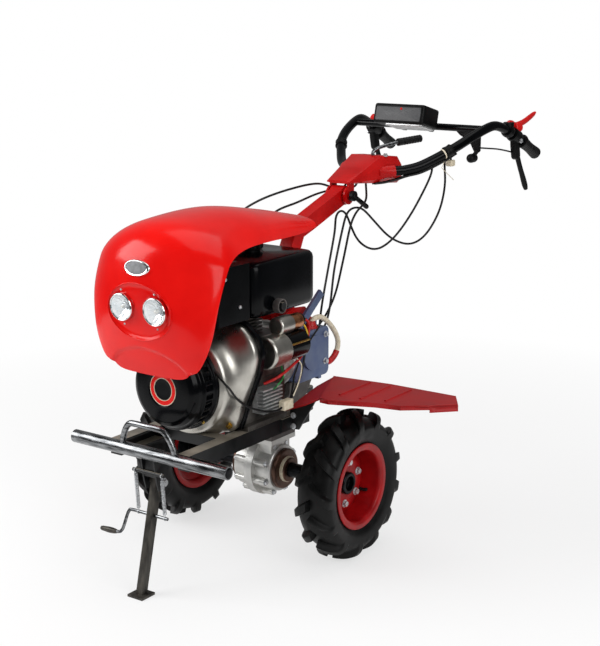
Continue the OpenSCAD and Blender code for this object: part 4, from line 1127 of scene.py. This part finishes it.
def wiring():
    """Loom at the starter side: thin wires between relay, regulator and block, with cream connectors."""
    looms = [("loom.green", WIRE_GREEN, 2.0,
              [(150, 139.5, 466), (146, 150, 478), (118, 146, 492), (104, 128, 516), (96, 108, 540)]),
             ("loom.yellow", WIRE_YELLOW, 2.4,
              [(64, 126, 545), (46, 150, 556), (36, 160, 580), (38, 152, 606), (52, 142, 618)]),
             ("loom.red", WIRE_RED, 3.6,
              [(38, 154, 622), (22, 156, 600), (44, 152, 536), (96, 152, 512), (140, 144, 494),
               (166, 122, 480)]),
             ("loom.black", SHEATH, 2.6,
              [(38, 138, 622), (16, 140, 596), (10, 136, 540), (40, 144, 480), (92, 152, 434)]),
             ("loom.block", SHEATH, 2.4,
              [(-128, 72, 561), (-122, 86, 564), (-104, 98, 566), (-76, 98, 547), (-22, 104, 516),
               (26, 120, 485), (54, 132, 472), (72, 142, 458), (94, 150, 430)]),
             ("loom.white", CREAM, 1.8,
              [(70, 150, 530), (58, 158, 508), (66, 156, 470), (88, 154, 436)]),
             ("loom.casing", SHEATH, 2.8,
              [(330, 96, 548), (330, 131, 520), (318, 136, 505), (296, 139, 478), (262, 138, 452),
               (226, 141, 434), (188, 148, 420), (150, 150, 414), (128, 149, 416)])]
    for name, material, radius, route in looms:
        wire(name, "chassis", material, route, radius)
    plugs = [pressed(box_outline((92, 408), (130, 432)), 140, 158, "y", 3, 1.5),
             pressed(box_outline((22, 538), (38, 568)), 116, 132, "y", 3, 1.5)]
    piece("loom.connectors", "chassis", CREAM, plugs)


fan_casing()
recoil()
fuel_tank()
engine_block()
starter()
breather()
wiring()


# Handlebar

BAR_ROUTE = [(-498, 80, 931), (-509, 90, 932), (-520, 100, 933), (-550, 130, 943), (-599, 165, 968),
             (-639, 190, 990), (-691, 208, 1013), (-755, 221, 1034), (-802, 228, 1041), (-850, 236, 1029),
             (-897, 242, 1009), (-954, 247, 981), (-1016, 252, 948)]
BAR_R, CROSSBAR_R = 13.5, 10.0


def bars():
    """Two bent tubes and the tube between them."""
    left = tube(BAR_ROUTE, BAR_R, 28)
    piece("bar_left.tube", "handlebar", BLACK, [left], ("bar_left",), 60)
    piece("bar_right.tube", "handlebar", BLACK, [mirrored(left)], ("bar_right",), 60)
    cross = tube([(-755, y, 1034) for y in (-221, -120, 0, 120, 221)], CROSSBAR_R, 24)
    piece("crossbar.tube", "handlebar", BLACK, [cross], ("crossbar",), 60)


def stop_bracket():
    """Folded bracket under the crossbar with a knob on a stem, and the lead that runs back from it."""
    plate = pressed([(120, 1030), (205, 1030), (205, 968), (188, 964), (168, 1000), (140, 1012)],
                    -764, -758, "x", 6, 1)
    knob = lathed([(-16, 6), (-16, 11), (-10, 13), (10, 13), (16, 9), (18, 3)], 3,
                  (-755, 182, 950), (1, 0, 0), 32)
    stem = tube([(-761, 196, 972), (-758, 188, 960), (-756, 183, 952)], 6, 14)
    piece("stop_bracket", "handlebar", PLASTIC, [plate, knob, stem])
    lead = [(-761, 199, 980), (-780, 214, 978), (-830, 226, 972), (-880, 236, 962), (-902, 240, 956)]
    wire("stop_bracket.lead", "handlebar", SHEATH, lead, 2.4)


def bar_fittings():
    """Clamps on both bars; on the left one a tie with its tail, a connector, and two cables below it."""
    spot, aim = np.array([-621, 179, 980.5]), unit(np.array([-40, 25, 22.0]))
    collar = carried(np.array([spot + aim * d for d in (-12, -10, -3, 3, 10, 12)]),
                     [15.5, 17.5, 17.5, 16, 16, 17.5, 17.5, 15.5], 32)
    piece("bar_clamps", "handlebar", PLASTIC, [collar, mirrored(collar)], crease=60)
    tie = carried(np.array([spot - aim * d for d in (18, 16, 14)]), [14.2, 15, 14.2], 28)
    piece("bar_tie", "handlebar", CREAM, [tie], crease=60)
    plug = pressed(box_outline((-648, 938), (-622, 956)), 170, 188, "y", 6, 3)
    piece("bar_connector", "handlebar", CREAM, [plug], crease=60)
    lead = [(-636, 179, 955), (-634, 180, 964), (-630, 181, 972)]
    wire("bar_connector.lead", "handlebar", SHEATH, lead, 3)
    tail = [(-606, 176, 957), (-590, 180, 944), (-582, 182, 938), (-612, 182, 920), (-650, 182, 898)]
    wire("bar_tie.tail", "handlebar", CREAM, tail, 0.9, 8)
    bound = [tube([(-640, 191 + d, 974), (-599, 169 + d, 951.5), (-550, 134 + d, 926.5),
                   (-520, 104 + d, 916.5), (-500, 84 + d, 908), (-470, 62 + d, 901), (-446, 44 + d, 899)],
                  CABLE_R, 12) for d in (-3.5, 3.5)]
    piece("bar_cables", "handlebar", SHEATH, bound, crease=60)


def grips():
    """Moulded grips: a tube whose radius swells at both ends and dips in even rings, round at the tip."""
    start, end = np.array([-938, 246, 989.0]), np.array([-1024, 253, 944.0])
    t = np.linspace(0, 1, 120)
    radius = 17 + 1.2 * np.cos(2 * np.pi * t) - 1.0 * ease(np.abs((t * 11) % 1 - 0.5), 0.32, 0.42)
    radius = radius + 2.5 * ease(0.07 - t, 0, 0.02)
    radius = radius * np.sqrt(np.clip(1 - ((t - 0.95) / 0.055).clip(0) ** 2, 0.05, 1))
    left = carried(start + (end - start) * t[:, None], radius, 40)
    piece("grip_left.moulding", "handlebar", GRIP, [left], ("grip_left",), 50)
    piece("grip_right.moulding", "handlebar", GRIP, [mirrored(left)], ("grip_right",), 50)


def hand_levers():
    """Clutch and side levers: clamp round the bar, block under it, and a blade that thickens to its end."""
    perch = tube([(-884, 240.5, 1014), (-900, 242, 1007), (-916, 243.5, 1000)], [19.5, 21, 21, 21, 19.5], 32)
    path = smooth([(-905, 243, 984), (-917, 244, 950), (-935, 245, 915), (-958, 245, 880),
                   (-980, 246, 842)], 10)
    blade = carried(path, [7.4, 8, 8, 7.6, 7.5, 7.5, 7.5, 7.8, 8.4, 8.4, 6], 20)
    block = pressed([(-886, 1012), (-914, 1000), (-926, 944), (-912, 934), (-898, 940), (-888, 980)],
                    234, 252, "y", 7, 3)
    pin = bolt((-903, 262.5, 992), (0, 1, 0), 9, 4)
    for hand, turn in (("left", lambda s: s), ("right", mirrored)):
        piece(f"lever_{hand}.blade", "handlebar", PLASTIC, [turn(perch), turn(blade), turn(block)],
              (f"lever_{hand}",), 50)
        piece(f"lever_{hand}.pin", "handlebar", ZINC, [turn(pin)])


def throttle():
    """Throttle: black clamp on the left bar, a red thumb lever over the grip, and a red hub on each bar."""
    perch = tube([(-858, 236.6, 1026), (-866, 237.8, 1022.5), (-874, 239, 1019)], [18.8, 20, 20, 18.8], 32)
    drum = lathed([(0, 13), (0, 16), (16, 16), (18, 13)], 1.2, (-868, 238, 1030), (0, 0, 1), 40)
    piece("throttle_clamp", "handlebar", PLASTIC, [perch, drum])
    path = smooth([(-864, 238, 1046), (-884, 239, 1042), (-908, 240, 1036), (-956, 241, 1042),
                   (-996, 242.5, 1054), (-1029, 244, 1066)], 8)
    blade = carried(path, [6, 9, 10, 9.5, 9, 8.8, 8.6, 8.4, 8, 7, 3.5], 24, 0.8)
    piece("throttle_lever.blade", "handlebar", LEVER_RED, [blade], ("throttle_lever",), 50)
    hub = lathed([(-6, 10), (-6, 15), (9, 15), (12, 11), (12, 5)], 2.0,
                 (-908, 246, 1031), (0.2, 0.9, 0.3), 36)
    piece("throttle_lever.hubs", "handlebar", LEVER_RED, [hub, mirrored(hub)])


def shift_lever():
    """Gear lever: bright rod and a black sleeve with moulded rings."""
    route = [(-480, 20, 972.4), (-481, 20.5, 982), (-498, 30, 993), (-560, 60, 1006), (-620, 88, 1012)]
    path = smooth(route, 20)
    piece("gear_lever.rod", "handlebar", STEEL, [carried(path, 5, 18)], ("gear_lever",), 60)
    a, b = np.array([-552, 56, 1004.5]), np.array([-624, 90, 1012.2])
    t = np.linspace(0, 1, 90)
    radius = 10.6 - 2.2 * ease(np.abs((t * 9) % 1 - 0.5), 0.25, 0.4) * ease(t, 0.12, 0.14)
    radius = radius * np.sqrt(np.clip(1 - ((t - 0.94) / 0.065).clip(0) ** 2, 0.05, 1))
    piece("gear_lever.sleeve", "handlebar", GRIP, [carried(a + (b - a) * t[:, None], radius, 32)], crease=50)


def control_box():
    """Switch box on the crossbar, leaned back about its front top edge.

    It has a bevelled case, a pale tray under it, a grey panel with a lamp, two clamps, and a rocker switch.
    """
    edge, lean = np.array([-650.0, 0, 1104]), -14

    def leaned(shell):
        """The shell, made about the edge, turned by the lean and put in its place."""
        points, faces = swung(shell, (0, 0, 0), (0, 1, 0), lean)
        return points + edge, faces

    case = pressed(box_outline((-92, -84), (0, 84)), -57, 0, "z", 12, 7)
    piece("control_box.case", "handlebar", PLASTIC, [leaned(case)], ("control_box",), 40)
    tray = pressed(box_outline((-84, -46), (-6, 79)), -62, -55, "z", 9, 2)
    piece("control_box.tray", "handlebar", FINS, [leaned(tray)])
    panel = pressed(box_outline((-74, -49), (74, -10)), -1.0, 0.6, "x", 4, 0.5)
    piece("control_box.panel", "handlebar", CASE_GREY, [leaned(panel)])
    lamp = lathed([(-1, 3.5), (1.5, 3.5), (3, 2), (3.4, 0.5)], 0.6, (0, 9, -15), (1, 0, 0), 20)
    piece("control_box.lamp", "handlebar", LEVER_RED, [leaned(lamp)])
    clamps = [pressed(box_outline((-134, -58), (-90, -27)), s - 5, s + 5, "y", 10, 1.5) for s in (-45, 45)]
    piece("control_box.clamps", "handlebar", CHARCOAL, [leaned(c) for c in clamps])
    rocker = pressed(box_outline((-60, -16), (-36, 16)), -3, 2.4, "z", 4, 1.6)
    piece("control_box.rocker", "handlebar", GRIP, [leaned(rocker)])


def column():
    """Handle column, console and clamp lever: folded plate with broken edges.

    Bolts hold the hinge, the column's foot and the console.
    """
    softened("handle_column", HANDLE_RED, 1.2)
    softened("console", HANDLE_RED, 1.6)
    softened("clamp_lever", PLASTIC, 1.2)
    heads = [bolt((-345, -31, 876), (0, -1, 0), 16, 8)]
    heads += [bolt((x, s * 38, 578), (0, 0, 1), 12, 7) for x in (-136, -34) for s in (1, -1)]
    piece("column_bolts", "chassis", ZINC, heads)
    heads = [bolt((x, y, 971), (0, 0, 1), 9, 5) for x, y in ((-510, 42), (-494, 52))]
    piece("console.bolts", "handlebar", ZINC, heads)


bars()
stop_bracket()
bar_fittings()
grips()
hand_levers()
throttle()
shift_lever()
control_box()
column()


# Studio

AMBIENT, ROOM, BACKDROP, MIRROR = 0.45, 0.1, 0.3, 0.4
FLOOR_REACH = 2.3


def clear_ray(tree, path):
    """1 for rays from the camera or through glass, otherwise 0."""
    return add(tree, "Math", {0: path.outputs["Is Camera Ray"], 1: path.outputs["Is Transmission Ray"]},
               operation="MAXIMUM").outputs[0]


def seen_ray(tree):
    """1 for rays from the camera or through glass, MIRROR for rays off a shiny surface, otherwise 0."""
    path = add(tree, "LightPath")
    mirror = add(tree, "Math", {0: path.outputs["Is Glossy Ray"], 1: MIRROR}, operation="MULTIPLY")
    return add(tree, "Math", {0: clear_ray(tree, path), 1: mirror.outputs[0]}, operation="MAXIMUM").outputs[0]


def studio_floor():
    """Round pale floor that shows white, more so away from the machine, but keeps the shadow."""
    turn = np.linspace(0, 2 * np.pi, 96, endpoint=False)
    rim = FLOOR_REACH * np.stack([np.cos(turn), np.sin(turn), 0 * turn], -1)
    mesh = bpy.data.meshes.new("floor")
    mesh.from_pydata(rim.tolist(), [], [tuple(range(len(rim)))])
    floor = bpy.data.objects.new("floor", mesh)
    bpy.context.scene.collection.objects.link(floor)
    material = bpy.data.materials.new("pale studio floor")
    material.use_nodes = True
    tree = material.node_tree
    shader = tree.nodes["Principled BSDF"]
    shader.inputs["Base Color"].default_value = lin("#F4F4F4")
    shader.inputs["Roughness"].default_value = 0.8
    shader.inputs["Specular IOR Level"].default_value = 0.0
    away = add(tree, "VectorMath", {0: add(tree, "TexCoord").outputs["Object"]}, operation="LENGTH")
    white = add(tree, "MapRange", {"Value": away.outputs["Value"], "From Min": 0.8, "From Max": 2.1,
                                   "To Min": 0.64, "To Max": 1.0})
    share = add(tree, "Math", {0: white.outputs[0], 1: seen_ray(tree)}, operation="MULTIPLY")
    glow = add(tree, "Emission", {"Color": lin("#FFFFFF"), "Strength": 1.0})
    both = add(tree, "MixShader", {0: share.outputs[0], 1: shader.outputs[0], 2: glow.outputs[0]})
    tree.links.new(both.outputs[0], tree.nodes["Material Output"].inputs["Surface"])
    mesh.materials.append(material)


def studio_room():
    """White room to the camera, even light on matt surfaces, and a backdrop in a dim room to shiny ones."""
    world = bpy.data.worlds.new("studio")
    bpy.context.scene.world = world
    world.use_nodes = True
    tree = world.node_tree
    light = tree.nodes["Background"]
    light.inputs["Color"].default_value = lin("#FFFFFF")
    path = add(tree, "LightPath")
    way = add(tree, "TexCoord").outputs["Generated"]
    behind = add(tree, "VectorMath", {0: way, 1: (-math.cos(HEADING), -math.sin(HEADING), 0.0)},
                 operation="DOT_PRODUCT")
    backdrop = add(tree, "MapRange", {"Value": behind.outputs["Value"], "From Min": 0.4, "From Max": 0.85,
                                      "To Min": ROOM, "To Max": BACKDROP})
    mirrored_light = add(tree, "Mix", {0: path.outputs["Is Glossy Ray"], 2: AMBIENT, 3: backdrop.outputs[0]})
    level = add(tree, "Mix", {0: clear_ray(tree, path), 2: mirrored_light.outputs[0], 3: 1.0})
    tree.links.new(level.outputs[0], light.inputs["Strength"])


def studio_lamps():
    """Three soft area lamps, each turned toward a spot on the machine; places and sizes are metres."""
    for name, spot, aim, size, watts in (("key", (1.9, -1.7, 1.8), (0.3, 0, 0.6), 1.6, 46),
                                         ("side", (1.2, 2.6, 1.8), (0.2, 0, 0.5), 1.8, 34),
                                         ("top", (-0.2, 0.2, 3.2), (0.1, 0, 0.5), 2.4, 22)):
        lamp = bpy.data.objects.new(name, bpy.data.lights.new(name, "AREA"))
        lamp.data.energy, lamp.data.size = watts, size
        toward = np.array(aim) - np.array(spot)
        lamp.location = spot
        lamp.rotation_euler = (math.acos(-toward[2] / np.linalg.norm(toward)), 0,
                               math.atan2(toward[1], toward[0]) - math.pi / 2)
        bpy.context.scene.collection.objects.link(lamp)


studio_floor()
studio_room()
studio_lamps()
bpy.context.scene.view_settings.view_transform = "Standard"
